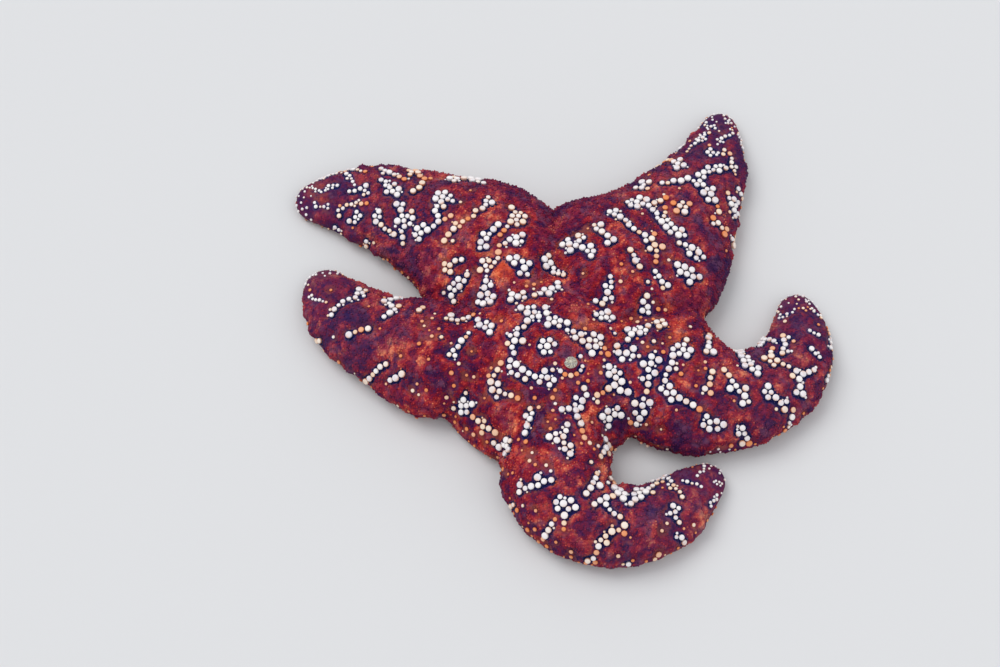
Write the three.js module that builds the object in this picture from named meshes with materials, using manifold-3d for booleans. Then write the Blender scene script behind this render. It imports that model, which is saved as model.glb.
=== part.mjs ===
// An ochre sea star, life size, lying flat with its arms bent as it grips a rock.
// Millimetres, +Z up. The underside rests on z = 0 and the origin is the middle of the footprint.
// The disc and each length of arm is its own solid, with a thin gap to its neighbours.
import * as THREE from "three";
import { mergeVertices } from "three/addons/utils/BufferGeometryUtils.js";
import Module from "manifold-3d";

const wasm = await Module();
wasm.setup();

// ---- Driving dimensions -------------------------------------------------

const DISC = { radius: 40, height: 27, fullness: 2.3 };
const GAP = 0.3; // between neighbouring solids
const BIG = 60; // taller than the animal, for cutting tools

// Each arm starts at the middle of the disc. Its heading is in degrees, anticlockwise from +X,
// and each bend turns it smoothly by turn degrees between two shares of its length.
// Its widths to the left and right of its midline are at the shares of the length that
// WIDTH_STATIONS gives. The first is at the notches, where it meets its neighbours.
const WIDTH_STATIONS = [0.4, 0.6, 0.8, 0.95];
const ARMS = [
  {
    name: "arm_a",
    heading: 122,
    length: 120,
    bends: [
      { from: 0.3, to: 0.6, turn: 27 },
      { from: 0.6, to: 1, turn: 36 },
    ],
    left: [23, 19, 16.5, 9.5],
    right: [36, 23, 16.5, 9],
  },
  {
    name: "arm_b",
    heading: 180,
    length: 95,
    bends: [
      { from: 0.05, to: 0.4, turn: -18 },
      { from: 0.5, to: 1, turn: -50 },
    ],
    left: [27, 19, 15, 9],
    right: [18, 16, 14, 9],
  },
  {
    name: "arm_c",
    heading: -80,
    length: 112,
    bends: [
      { from: 0.05, to: 0.25, turn: -8 },
      { from: 0.26, to: 0.85, turn: 128 },
    ],
    left: [20, 14.5, 12, 8],
    right: [22, 17, 14.5, 8.5],
  },
  {
    name: "arm_d",
    heading: -14,
    length: 120,
    bends: [{ from: 0.35, to: 1, turn: 110 }],
    left: [33, 18, 13, 8.5],
    right: [23, 19, 15, 8.5],
  },
  {
    name: "arm_e",
    heading: 47,
    length: 127,
    bends: [
      { from: 0.35, to: 0.65, turn: 15 },
      { from: 0.65, to: 1, turn: 22 },
    ],
    left: [40, 25, 16, 8.5],
    right: [30, 21, 14, 8],
  },
];

// The height of an arm's back at shares of its length.
const BACK = { stations: [0, 0.3, 0.5, 0.75, 0.95], heights: [26, 23.5, 20, 14, 8.5] };
const FLANK_HEIGHT = 0.24; // where an arm is widest, as a share of its height
const SECTION_FULLNESS = 2.2; // 2 is an ellipse, more is squarer
const FOOT_SHARE = 0.78; // the flat that rests on the floor, as a share of the width
const ARM_START = 0.12; // share of the length where an arm leaves the middle of the disc
const ROUND_SHARE = 0.07; // share of the length taken by an arm's rounded end
const NOTCH_SPREAD = 0.45; // how fast an arm widens from the middle of the disc to its notches
const AROUND = 16;
const ALONG = 12;

// Where an arm is divided into lengths, as shares of its own length.
const DIVISIONS = [0.6, 0.82];
const LENGTH_NAMES = ["base", "middle", "tip"];

const GROOVE = { from: 0.05, to: 0.97, halfWidth: 3.4, depth: 6.5, tipShare: 0.35, steps: 10 };
const MOUTH = { radius: 7, depth: 6 };
const MEMBRANE = { opening: 1.8, thickness: 1.2, height: 3.2 };
const MADREPORITE = { bearing: -50, distance: 12.7, radius: 3, sunk: 0.9, proud: 0.8 };
const EYESPOT = { radius: 0.9, height: 3.4 };

// Blunt spines stand in bands across each arm, and in rings round the middle of the disc.
const SPINE = { foot: 1.7, head: 1.25, height: 2, sunk: 1.8, sides: 5 };
const SPINE_BANDS = { first: 37, pitch: 13.5, spacing: 12, edge: 0.8, slant: 0.35, clear: 2.4 };
const SPINE_RINGS = [
  { radius: 3.4, count: 3 },
  { radius: 18, count: 7 },
  { radius: 28, count: 8 },
];

const SKIN = { color: 0xa33a22, roughness: 0.75, metalness: 0 };
const PALE = { color: 0xd9c9a8, roughness: 0.8, metalness: 0 };
const EYE = { color: 0xb02a18, roughness: 0.35, metalness: 0 };
const SOFT = { color: 0xc98d6a, roughness: 0.6, metalness: 0 };

// ---- Solids -------------------------------------------------------------

function solidOf(geometry) {
  const bare = geometry.clone().deleteAttribute("normal").deleteAttribute("uv");
  const merged = mergeVertices(bare, 1e-4);
  return new wasm.Manifold(
    new wasm.Mesh({
      numProp: 3,
      vertProperties: new Float32Array(merged.attributes.position.array),
      triVerts: new Uint32Array(merged.index.array),
    }),
  );
}

function geometryOf(solid) {
  const mesh = solid.getMesh();
  const geometry = new THREE.BufferGeometry();
  geometry.setAttribute("position", new THREE.BufferAttribute(mesh.vertProperties, 3));
  geometry.setIndex(new THREE.BufferAttribute(mesh.triVerts, 1));
  geometry.computeVertexNormals();
  return geometry;
}

function union(solids) {
  return solids.reduce((joined, next) => joined.add(next));
}

// ---- An arm's centreline and section ------------------------------------

const radians = THREE.MathUtils.degToRad;

// Straight lines through values at stations, level beyond both ends.
function profile(stations, values) {
  return (t) => {
    const last = stations.length - 1;
    if (t <= stations[0]) return values[0];
    if (t >= stations[last]) return values[last];
    const i = stations.findIndex((s) => s > t) - 1;
    const share = (t - stations[i]) / (stations[i + 1] - stations[i]);
    return THREE.MathUtils.lerp(values[i], values[i + 1], share);
  };
}

const backHeight = profile(BACK.stations, BACK.heights);

// The centreline is walked in small steps, so that every bend keeps the arm's length.
function centreline(arm) {
  const steps = 120;
  const points = [new THREE.Vector2(0, 0)];
  const headings = [];
  for (let i = 0; i <= steps; i++) {
    const t = i / steps;
    const turned = arm.bends.map((b) => b.turn * THREE.MathUtils.smoothstep(t, b.from, b.to));
    headings.push(radians(arm.heading + turned.reduce((sum, turn) => sum + turn, 0)));
    const stride = new THREE.Vector2(arm.length / steps, 0);
    points.push(points[i].clone().add(stride.rotateAround(new THREE.Vector2(), headings[i])));
  }
  return (t) => {
    const at = THREE.MathUtils.clamp(t, 0, 1) * steps;
    const i = Math.min(Math.floor(at), steps - 1);
    return {
      point: points[i].clone().lerp(points[i + 1], at - i),
      heading: THREE.MathUtils.lerp(headings[i], headings[i + 1], at - i),
    };
  };
}

// A place beside the centreline: t along the arm, side to its left, z above the floor.
function beside(arm, t, side, z) {
  const { point, heading } = arm.line(t);
  return new THREE.Vector3(
    point.x - Math.sin(heading) * side,
    point.y + Math.cos(heading) * side,
    z,
  );
}

// The arm's width on the side that side's sign gives, left being positive.
function halfWidth(arm, t, side) {
  const width = side >= 0 ? arm.leftWidth(t) : arm.rightWidth(t);
  return width * Math.min(1, (t / WIDTH_STATIONS[0]) ** NOTCH_SPREAD);
}

// 1 along the arm, falling to 0 as a quarter circle at the tip and over the disc.
function roundness(t) {
  const fromTip = (t - 1 + ROUND_SHARE) / ROUND_SHARE;
  const fromStart = (ARM_START + 2 * ROUND_SHARE - t) / (2 * ROUND_SHARE);
  const past = THREE.MathUtils.clamp(Math.max(fromTip, fromStart), 0, 1);
  return Math.sqrt(1 - past * past);
}

// A point of the arm's skin, at angle round its section: 0 is its left flank, a quarter turn its back.
function skinPoint(arm, t, angle) {
  const round = roundness(t);
  const height = backHeight(t);
  const flank = height * FLANK_HEIGHT;
  const power = 2 / SECTION_FULLNESS;
  const across = Math.sign(Math.cos(angle)) * Math.abs(Math.cos(angle)) ** power;
  const up = Math.abs(Math.sin(angle)) ** power;
  const width = halfWidth(arm, t, Math.cos(angle)) * round;
  if (Math.sin(angle) >= 0) {
    return beside(arm, t, across * width, flank + (height - flank) * up * round);
  }
  const tucked = THREE.MathUtils.lerp(1, FOOT_SHARE, up);
  return beside(arm, t, across * width * tucked, Math.max(0, flank * (1 - 1.7 * up * round)));
}

for (const arm of ARMS) {
  arm.line = centreline(arm);
  arm.leftWidth = profile(WIDTH_STATIONS, arm.left);
  arm.rightWidth = profile(WIDTH_STATIONS, arm.right);
}

// ---- The body -----------------------------------------------------------

// A ball's vertices are laid along the arm, from one pole on the disc to the other at the tip.
function armSolid(arm) {
  const ball = new THREE.SphereGeometry(1, AROUND, ALONG);
  const { position, uv } = ball.attributes;
  for (let i = 0; i < position.count; i++) {
    const share = 1 - uv.getY(i);
    const eased = 1 - (1 - share) ** 1.3;
    const t = THREE.MathUtils.lerp(ARM_START, 1, eased);
    const p = skinPoint(arm, t, -2 * Math.PI * uv.getX(i));
    position.setXYZ(i, p.x, p.y, p.z);
  }
  return solidOf(ball);
}

function discHeight(r) {
  const share = Math.min(r / DISC.radius, 1);
  return DISC.height * (1 - share ** DISC.fullness) ** (1 / DISC.fullness);
}

function discSolid() {
  const rings = 6;
  const outline = [new THREE.Vector2(0, 0), new THREE.Vector2(DISC.radius * FOOT_SHARE, 0)];
  for (let i = rings; i >= 0; i--) {
    const r = DISC.radius * Math.sin((i / rings) * (Math.PI / 2));
    const flank = DISC.height * FLANK_HEIGHT;
    outline.push(new THREE.Vector2(r, Math.max(flank, discHeight(r))));
  }
  return solidOf(new THREE.LatheGeometry(outline, 20).rotateX(Math.PI / 2));
}

// A tent-shaped groove for the tube feet, cut along the underside from the mouth to the tip.
function grooveSolid(arm) {
  const box = new THREE.BoxGeometry(2, 1, 1, 2, GROOVE.steps, 1);
  const { position } = box.attributes;
  for (let i = 0; i < position.count; i++) {
    const t = THREE.MathUtils.lerp(GROOVE.from, GROOVE.to, position.getY(i) + 0.5);
    const scale = THREE.MathUtils.lerp(1, GROOVE.tipShare, t);
    const roof = position.getZ(i) > 0;
    const side = position.getX(i) * GROOVE.halfWidth * scale * (roof ? 0.45 : 1);
    const p = beside(arm, t, -side, roof ? GROOVE.depth * scale : -1);
    position.setXYZ(i, p.x, p.y, p.z);
  }
  return solidOf(box);
}

function upright(geometry) {
  return geometry.rotateX(Math.PI / 2);
}

function mouthSolid() {
  const { radius, depth } = MOUTH;
  const hollow = new THREE.CylinderGeometry(radius * 0.6, radius, depth + 1, 15);
  return solidOf(upright(hollow).translate(0, 0, (depth - 1) / 2));
}

// ---- Where the skin is, for what stands on it ----------------------------

// The height of the back above a place in plan, over the disc and every arm.
function backAt(x, y) {
  let highest = Math.hypot(x, y) < DISC.radius ? discHeight(Math.hypot(x, y)) : 0;
  for (const arm of ARMS) {
    for (let t = ARM_START; t <= 1; t += 0.02) {
      const { point, heading } = arm.line(t);
      const ahead = (x - point.x) * Math.cos(heading) + (y - point.y) * Math.sin(heading);
      if (Math.abs(ahead) > arm.length * 0.012) continue;
      const side = (y - point.y) * Math.cos(heading) - (x - point.x) * Math.sin(heading);
      const width = halfWidth(arm, t, side) * roundness(t);
      if (Math.abs(side) >= width) continue;
      const height = backHeight(t);
      const flank = height * FLANK_HEIGHT;
      const up = (1 - Math.abs(side / width) ** SECTION_FULLNESS) ** (1 / SECTION_FULLNESS);
      highest = Math.max(highest, flank + (height - flank) * up * roundness(t));
    }
  }
  return highest;
}

function normalAt(x, y) {
  const step = 1.5;
  const alongX = backAt(x + step, y) - backAt(x - step, y);
  const alongY = backAt(x, y + step) - backAt(x, y - step);
  return new THREE.Vector3(-alongX, -alongY, 2 * step).normalize();
}

// ---- Dividing lines -----------------------------------------------------

// The notch between two neighbouring arms, found by walking out until the skin ends.
function notch(arm, next) {
  const [a, b] = [arm, next].map(({ line }) => line(WIDTH_STATIONS[0]).point.clone().normalize());
  const between = a.add(b).normalize();
  for (let r = 30; r < 90; r += 0.5) {
    if (backAt(between.x * r, between.y * r) === 0) return between.multiplyScalar(r + 2);
  }
  throw new Error("no notch found beside " + arm.name);
}

const notches = ARMS.map((arm, i) => notch(arm, ARMS[(i + 1) % ARMS.length]));

function discRegion(grow) {
  const corners = notches.map((p) => p.clone().multiplyScalar(1 + grow / p.length()));
  const prism = new THREE.ExtrudeGeometry(new THREE.Shape(corners), {
    depth: BIG,
    bevelEnabled: false,
  });
  return solidOf(prism.translate(0, 0, -BIG / 2));
}

function clearOfDisc(x, y) {
  return notches.every((a, i) => {
    const b = notches[(i + 1) % notches.length];
    const edge = b.clone().sub(a);
    const away = Math.abs(edge.cross(new THREE.Vector2(x - a.x, y - a.y))) / edge.length();
    return away > SPINE_BANDS.clear;
  });
}

// A thin slab across the arm, which parts it in two.
function divider(arm, t) {
  const { point, heading } = arm.line(t);
  const width = 2 * Math.max(arm.leftWidth(t), arm.rightWidth(t)) + 6;
  const slab = new THREE.BoxGeometry(GAP, width, BIG);
  return solidOf(slab.rotateZ(heading).translate(point.x, point.y, 0));
}

// ---- Spines -------------------------------------------------------------

function spineSolid(x, y, size) {
  const peg = new THREE.CylinderGeometry(
    SPINE.head * size,
    SPINE.foot * size,
    SPINE.height + SPINE.sunk,
    SPINE.sides,
  );
  const middle = (SPINE.height - SPINE.sunk) / 2;
  const lean = new THREE.Quaternion().setFromUnitVectors(
    new THREE.Vector3(0, 1, 0),
    normalAt(x, y),
  );
  peg.translate(0, middle, 0).applyQuaternion(lean).translate(x, y, backAt(x, y));
  return solidOf(peg);
}

// Bands of spines slant forward from the arm's midline, and thin out to its tip.
function armSpines(arm) {
  const spines = [];
  const { first, pitch, spacing, edge, slant, clear } = SPINE_BANDS;
  for (let band = 0; first + band * pitch < 0.96 * arm.length; band++) {
    const t = (first + band * pitch) / arm.length;
    const each = Math.max(1, Math.round(halfWidth(arm, t, 1) / spacing));
    const shift = band % 2 ? 0.5 : 0;
    for (let k = -each + shift; k <= each; k++) {
      const side = (halfWidth(arm, t, k) * edge * k) / each;
      const along = t + (slant * Math.abs(side)) / arm.length;
      const tooNear = DIVISIONS.some((d) => Math.abs(along - d) * arm.length < clear);
      if (tooNear || along > 0.97) continue;
      const p = beside(arm, along, side, 0);
      if (backAt(p.x, p.y) < 4 || !clearOfDisc(p.x, p.y)) continue;
      spines.push({ x: p.x, y: p.y, size: 1.1 - 0.45 * along });
    }
  }
  return spines;
}

function discSpines() {
  return SPINE_RINGS.flatMap(({ radius, count }) =>
    Array.from({ length: count }, (_, i) => {
      const angle = (2 * Math.PI * (i + 0.5)) / count;
      return { x: radius * Math.cos(angle), y: radius * Math.sin(angle), size: 1.05 };
    }),
  );
}

function insideDisc({ x, y }) {
  return notches.every((a, i) => {
    const b = notches[(i + 1) % notches.length];
    return (b.x - a.x) * (y - a.y) - (b.y - a.y) * (x - a.x) > 0;
  });
}

// ---- Small parts with their seats ----------------------------------------

function madreporitePlace() {
  const bearing = radians(MADREPORITE.bearing);
  const x = MADREPORITE.distance * Math.cos(bearing);
  const y = MADREPORITE.distance * Math.sin(bearing);
  return new THREE.Vector3(x, y, backAt(x, y));
}

function madreporiteSeat() {
  const { radius, sunk } = MADREPORITE;
  const seat = new THREE.CylinderGeometry(radius + GAP, radius + GAP, BIG, 16);
  const place = madreporitePlace();
  return solidOf(upright(seat).translate(place.x, place.y, place.z - sunk - GAP + BIG / 2));
}

function madreporiteGeometry() {
  const { radius, sunk, proud } = MADREPORITE;
  const outline = [
    new THREE.Vector2(0, -sunk),
    new THREE.Vector2(radius, -sunk),
    new THREE.Vector2(radius, proud * 0.1),
    new THREE.Vector2(radius * 0.75, proud * 0.75),
    new THREE.Vector2(0, proud),
  ];
  return upright(new THREE.LatheGeometry(outline, 16));
}

function eyespotPlace(arm) {
  const { point, heading } = arm.line(1);
  const forward = new THREE.Vector3(Math.cos(heading), Math.sin(heading), 0);
  return forward.multiplyScalar(-0.2).add(new THREE.Vector3(point.x, point.y, EYESPOT.height));
}

function eyespotSeat(arm) {
  const place = eyespotPlace(arm);
  const seat = new THREE.SphereGeometry(EYESPOT.radius + GAP * 1.4, 8, 5);
  return solidOf(seat.translate(place.x, place.y, place.z));
}

function membraneGeometry() {
  const outer = MOUTH.radius * 0.62;
  const { opening, thickness, height } = MEMBRANE;
  const outline = [
    new THREE.Vector2(opening, height - 1),
    new THREE.Vector2(outer, height),
    new THREE.Vector2(outer, height + thickness),
    new THREE.Vector2(opening, height + thickness - 1),
    new THREE.Vector2(opening, height - 1),
  ];
  return upright(new THREE.LatheGeometry(outline, 15));
}

// ---- Assembly -----------------------------------------------------------

function named(name, geometry, finish, place = new THREE.Vector3()) {
  const mesh = new THREE.Mesh(geometry, new THREE.MeshStandardMaterial(finish));
  mesh.name = name;
  mesh.position.copy(place);
  return mesh;
}

function shareAlong(arm, solid) {
  const { min, max } = solid.boundingBox();
  const middle = new THREE.Vector2((min[0] + max[0]) / 2, (min[1] + max[1]) / 2);
  const shares = Array.from({ length: 101 }, (_, i) => i / 100);
  const away = (t) => arm.line(t).point.distanceTo(middle);
  return shares.reduce((best, t) => (away(t) < away(best) ? t : best));
}

function buildStar() {
  const star = new THREE.Group();
  const whole = union([discSolid(), ...ARMS.map(armSolid)]);
  const hollows = union([mouthSolid(), ...ARMS.map(grooveSolid)]);
  const spines = [...discSpines(), ...ARMS.flatMap(armSpines)];
  const onDisc = spines.filter(insideDisc).map((s) => spineSolid(s.x, s.y, s.size));
  const disc = union([whole.intersect(discRegion(0)), ...onDisc]);
  const discGeometry = geometryOf(disc.subtract(hollows).subtract(madreporiteSeat()));
  star.add(named("disc", discGeometry, SKIN));
  star.add(named("madreporite", madreporiteGeometry(), PALE, madreporitePlace()));
  star.add(named("mouth_membrane", membraneGeometry(), SOFT));
  for (const arm of ARMS) {
    const own = armSpines(arm).filter((s) => !insideDisc(s));
    const studded = union([armSolid(arm), ...own.map((s) => spineSolid(s.x, s.y, s.size))]);
    const cuts = union([hollows, eyespotSeat(arm), discRegion(GAP * 1.5)]);
    const parted = DIVISIONS.reduce((solid, t) => solid.subtract(divider(arm, t)), studded);
    const lengths = parted
      .subtract(cuts)
      .decompose()
      .sort((a, b) => b.volume() - a.volume())
      .slice(0, LENGTH_NAMES.length)
      .sort((a, b) => shareAlong(arm, a) - shareAlong(arm, b));
    lengths.forEach((solid, i) => {
      star.add(named(`${arm.name}_${LENGTH_NAMES[i]}`, geometryOf(solid), SKIN));
    });
    const ball = new THREE.SphereGeometry(EYESPOT.radius, 8, 5);
    star.add(named(`${arm.name}_eyespot`, ball, EYE, eyespotPlace(arm)));
  }
  return star;
}

const star = buildStar();
const footprint = new THREE.Box3().setFromObject(star).getCenter(new THREE.Vector3());
star.position.set(-footprint.x, -footprint.y, 0);

export default star;
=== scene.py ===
import math

import bmesh
import bpy
import numpy as np
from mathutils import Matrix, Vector, kdtree
from mathutils.bvhtree import BVHTree


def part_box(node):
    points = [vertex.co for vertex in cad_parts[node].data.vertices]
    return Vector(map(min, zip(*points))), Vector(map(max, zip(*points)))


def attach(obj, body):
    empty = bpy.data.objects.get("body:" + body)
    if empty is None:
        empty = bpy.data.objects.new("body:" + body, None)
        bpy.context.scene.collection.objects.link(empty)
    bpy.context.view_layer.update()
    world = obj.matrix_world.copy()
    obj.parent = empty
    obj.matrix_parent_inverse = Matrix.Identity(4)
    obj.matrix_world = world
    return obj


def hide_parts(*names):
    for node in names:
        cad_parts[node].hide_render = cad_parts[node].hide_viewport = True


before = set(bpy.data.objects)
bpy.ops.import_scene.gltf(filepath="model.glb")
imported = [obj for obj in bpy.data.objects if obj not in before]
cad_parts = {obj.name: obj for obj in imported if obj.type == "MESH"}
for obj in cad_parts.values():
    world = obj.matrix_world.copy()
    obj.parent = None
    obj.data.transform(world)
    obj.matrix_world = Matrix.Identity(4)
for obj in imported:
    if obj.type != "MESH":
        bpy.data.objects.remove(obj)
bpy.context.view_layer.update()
print("frame loaded:", len(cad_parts), "nodes")

mm = 0.001
chance = np.random.default_rng(57)
fleshNodes = [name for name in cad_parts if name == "disc" or name.endswith(("base", "middle", "tip"))]

# the sieve plate stands a known way off the middle of the disc, and so it gives that middle
sieve = {"bearing": -50, "distance": 12.7, "radius": 2.5, "domeShare": 0.88, "flatness": 0.42, "foot": 0.7,
         "grooves": 26, "grooveDepth": 0.28}
plateLow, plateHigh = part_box("madreporite")
plateMiddle = (plateLow + plateHigh) / 2
middle = Vector((
    plateMiddle.x - sieve["distance"] * mm * math.cos(math.radians(sieve["bearing"])),
    plateMiddle.y - sieve["distance"] * mm * math.sin(math.radians(sieve["bearing"])),
    0,
))


# small helpers

def deselectAll():
    if bpy.context.mode != "OBJECT":
        bpy.ops.object.mode_set(mode="OBJECT")
    bpy.ops.object.select_all(action="DESELECT")


def pick(*objects):
    deselectAll()
    for thing in objects:
        thing.select_set(True)
    bpy.context.view_layer.objects.active = objects[0]


def add(kind, name, **settings):
    # a new primitive, with its place in its mesh
    deselectAll()
    getattr(bpy.ops.mesh, "primitive_" + kind + "_add")(**settings)
    thing = bpy.context.active_object
    thing.name = thing.data.name = name
    pick(thing)
    bpy.ops.object.transform_apply(location=True, rotation=True, scale=True)
    return thing


def startEdit(thing, mode="VERT"):
    pick(thing)
    bpy.ops.object.mode_set(mode="EDIT")
    bpy.ops.mesh.select_mode(type=mode)
    bpy.ops.mesh.select_all(action="SELECT")


def endEdit():
    bpy.ops.object.mode_set(mode="OBJECT")


def selectVerts(thing, test):
    shape = bmesh.from_edit_mesh(thing.data)
    for vert in shape.verts:
        vert.select_set(bool(test(vert)))
    shape.select_flush_mode()
    bmesh.update_edit_mesh(thing.data)


def squash(thing, share, centre):
    startEdit(thing)
    bpy.ops.transform.resize(value=(1, 1, share), center_override=centre)
    endEdit()


def flattenBelow(thing, height, **settings):
    startEdit(thing)
    bpy.ops.mesh.bisect(plane_co=(0, 0, height), plane_no=(0, 0, 1), use_fill=True, clear_inner=True,
                        **settings)
    endEdit()


def joinAll(name, parts):
    pick(*parts)
    bpy.ops.object.join()
    joined = bpy.context.active_object
    joined.name = joined.data.name = name
    return joined


def finishWith(thing, kind, **settings):
    pick(thing)
    modifier = thing.modifiers.new(kind.title(), kind)
    for key, value in settings.items():
        setattr(modifier, key, value)
    bpy.ops.object.modifier_apply(modifier=modifier.name)


def pressBy(thing, strength, values, midLevel=0, **settings):
    # the surface moves along its normals by so many mm, weighted by a value at each vertex
    group = thing.vertex_groups.new(name="weight")
    for i, value in enumerate(values):
        group.add([i], float(value), "REPLACE")
    settings.update(vertex_group=group.name, mid_level=midLevel, strength=strength * mm)
    finishWith(thing, "DISPLACE", **settings)
    thing.vertex_groups.clear()


def smoothShaded(thing):
    pick(thing)
    bpy.ops.object.shade_smooth()


def remove(thing):
    mesh = thing.data
    bpy.data.objects.remove(thing)
    bpy.data.meshes.remove(mesh)


def placesOf(mesh, what="co"):
    values = np.empty(len(mesh.vertices) * 3)
    mesh.vertices.foreach_get(what, values)
    return values.reshape(-1, 3)


def setValues(mesh, values):
    for name, value in values.items():
        mesh.attributes.new(name, "FLOAT", "POINT").data.foreach_set("value", np.asarray(value, float))


def treeOf(places):
    tree = kdtree.KDTree(len(places))
    for i, place in enumerate(places):
        tree.insert(place, i)
    tree.balance()
    return tree


def thinned(places, spacing):
    tree = treeOf(places)
    free = np.ones(len(places), bool)
    kept = []
    for i, place in enumerate(places):
        if free[i]:
            kept.append(i)
            for _, j, _ in tree.find_range(place, spacing * mm):
                free[j] = False
    return np.array(kept, int)


def keep(which, *lists):
    return [each[which] for each in lists]


def flatAway(places, centre):
    return np.hypot(places[:, 0] - centre[0], places[:, 1] - centre[1]) / mm


def bearings(places, centre):
    return np.arctan2(places[:, 1] - centre[1], places[:, 0] - centre[0])


def facing(angle):
    return Vector((math.cos(angle), math.sin(angle), 0))


def roundAbout(centre, angle, radius):
    return centre.x + radius * mm * math.cos(angle), centre.y + radius * mm * math.sin(angle)


def easeBetween(low, high, x):
    share = np.clip((np.asarray(x, float) - low) / (high - low), 0, 1)
    return share * share * (3 - 2 * share)


def ripple(where, size, seed, waves=14):
    # soft noise from a few crossing waves of about this size, from -1 to 1
    draw = np.random.default_rng(seed)
    total = np.zeros(len(where))
    for _ in range(waves):
        way = draw.normal(size=3)
        way *= 2 * math.pi / (np.linalg.norm(way) * size * mm * draw.uniform(0.75, 1.4))
        total += np.cos(where @ way + draw.uniform(0, 2 * math.pi))
    return np.clip(total / math.sqrt(waves) / 1.1, -1, 1)


# the arms' midlines and half widths, in mm and degrees; "spines" is how thickly the spines stand
armStations = [0.4, 0.6, 0.8, 0.95]
arms = {
    "a": {"spines": 0.95, "heading": 122, "length": 120, "bends": [(0.3, 0.6, 27), (0.6, 1, 36)],
          "left": [23, 19, 16.5, 9.5], "right": [36, 23, 16.5, 9]},
    "b": {"spines": 0.38, "heading": 180, "length": 95, "bends": [(0.05, 0.4, -18), (0.5, 1, -50)],
          "left": [27, 19, 15, 9], "right": [18, 16, 14, 9]},
    "c": {"spines": 0.8, "heading": -80, "length": 112, "bends": [(0.05, 0.25, -8), (0.26, 0.85, 128)],
          "left": [20, 14.5, 12, 8], "right": [22, 17, 14.5, 8.5]},
    "d": {"spines": 0.82, "heading": -14, "length": 120, "bends": [(0.35, 1, 110)],
          "left": [33, 18, 13, 8.5], "right": [23, 19, 15, 8.5]},
    "e": {"spines": 0.82, "heading": 47, "length": 127, "bends": [(0.35, 0.65, 15), (0.65, 1, 22)],
          "left": [40, 25, 16, 8.5], "right": [30, 21, 14, 8]},
}
body = {
    "discRadius": 40, "discHeight": 27,
    "backStations": [0, 0.3, 0.5, 0.75, 0.95], "backHeights": [26, 23.5, 20, 14, 8.5],
    "flankShare": 0.24,      # how high an arm is widest, as a share of its height
    "underside": 0.55,       # how full an arm is below that
    "narrowed": [(-0.05, 0.97), (-0.5, 0.93), (-0.8, 0.9)],
    "armStart": 0.12, "roundShare": 0.07, "notchSpread": 0.45, "backEnd": 0.985,
    "coat": 0.9,             # the skin lies this deep inside the spines' tops
    "floorGap": 1.1,         # short spines carry the skin this far off the floor
    "sides": 24, "leastSize": 0.6,
    "shares": [0.125, 0.14, 0.17, 0.21, 0.26, 0.32, 0.38, 0.44, 0.5, 0.56, 0.62, 0.68, 0.74, 0.8, 0.86,
               0.91, 0.945, 0.97, 0.985, 0.993],
    "firstVoxel": 1.5, "voxel": 0.85, "smoothing": 14,
}
pathSteps = 120


def halfWidth(arm, share, side):
    width = float(np.interp(share, armStations, arm["left" if side >= 0 else "right"]))
    return width * min(1, (share / armStations[0]) ** body["notchSpread"])


def walkArm(arm):
    share = np.linspace(0, 1, pathSteps + 1)
    heading = np.full(pathSteps + 1, float(arm["heading"]))
    for start, end, bend in arm["bends"]:
        heading += bend * easeBetween(start, end, share)
    heading = np.radians(heading)
    stride = arm["length"] * mm / pathSteps
    arm["path"] = np.stack([
        middle.x + np.concatenate([[0], np.cumsum(np.cos(heading[:-1]))]) * stride,
        middle.y + np.concatenate([[0], np.cumsum(np.sin(heading[:-1]))]) * stride,
    ], axis=1)
    arm["headings"] = heading
    arm["widths"] = np.array([[halfWidth(arm, max(s, 0.01), sign) for s in share] for sign in (1, -1)])


def onPath(arm, share):
    at = np.clip(share, 0, 1) * pathSteps
    steps = np.arange(pathSteps + 1)
    place = np.array([np.interp(at, steps, arm["path"][:, k]) for k in (0, 1)])
    return place, np.interp(at, steps, arm["headings"])


def besidePath(arm, share, aside):
    # so many mm to the left of an arm's midline, and the arm's heading there
    place, heading = onPath(arm, share)
    return place[0] - math.sin(heading) * aside * mm, place[1] + math.cos(heading) * aside * mm, heading


def betweenArms(keys, share):
    # the way from the middle between two arms
    ways = [onPath(arms[key], share)[0] - [middle.x, middle.y] for key in keys]
    return sum(way / np.hypot(*way) for way in ways)


def backHeight(share):
    return float(np.interp(share, body["backStations"], body["backHeights"]))


def roundness(share):
    fromTip = (share - 1 + body["roundShare"]) / body["roundShare"]
    fromStart = (body["armStart"] + 2 * body["roundShare"] - share) / (2 * body["roundShare"])
    past = min(max(fromTip, fromStart, 0), 1)
    return math.sqrt(1 - past * past)


for arm in arms.values():
    walkArm(arm)


# one skin over the disc and all arms

def turn(angle, centre):
    # with no window, a positive value turns clockwise
    bpy.ops.transform.rotate(value=-angle, orient_axis="Z", orient_type="GLOBAL", center_override=centre)


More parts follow.
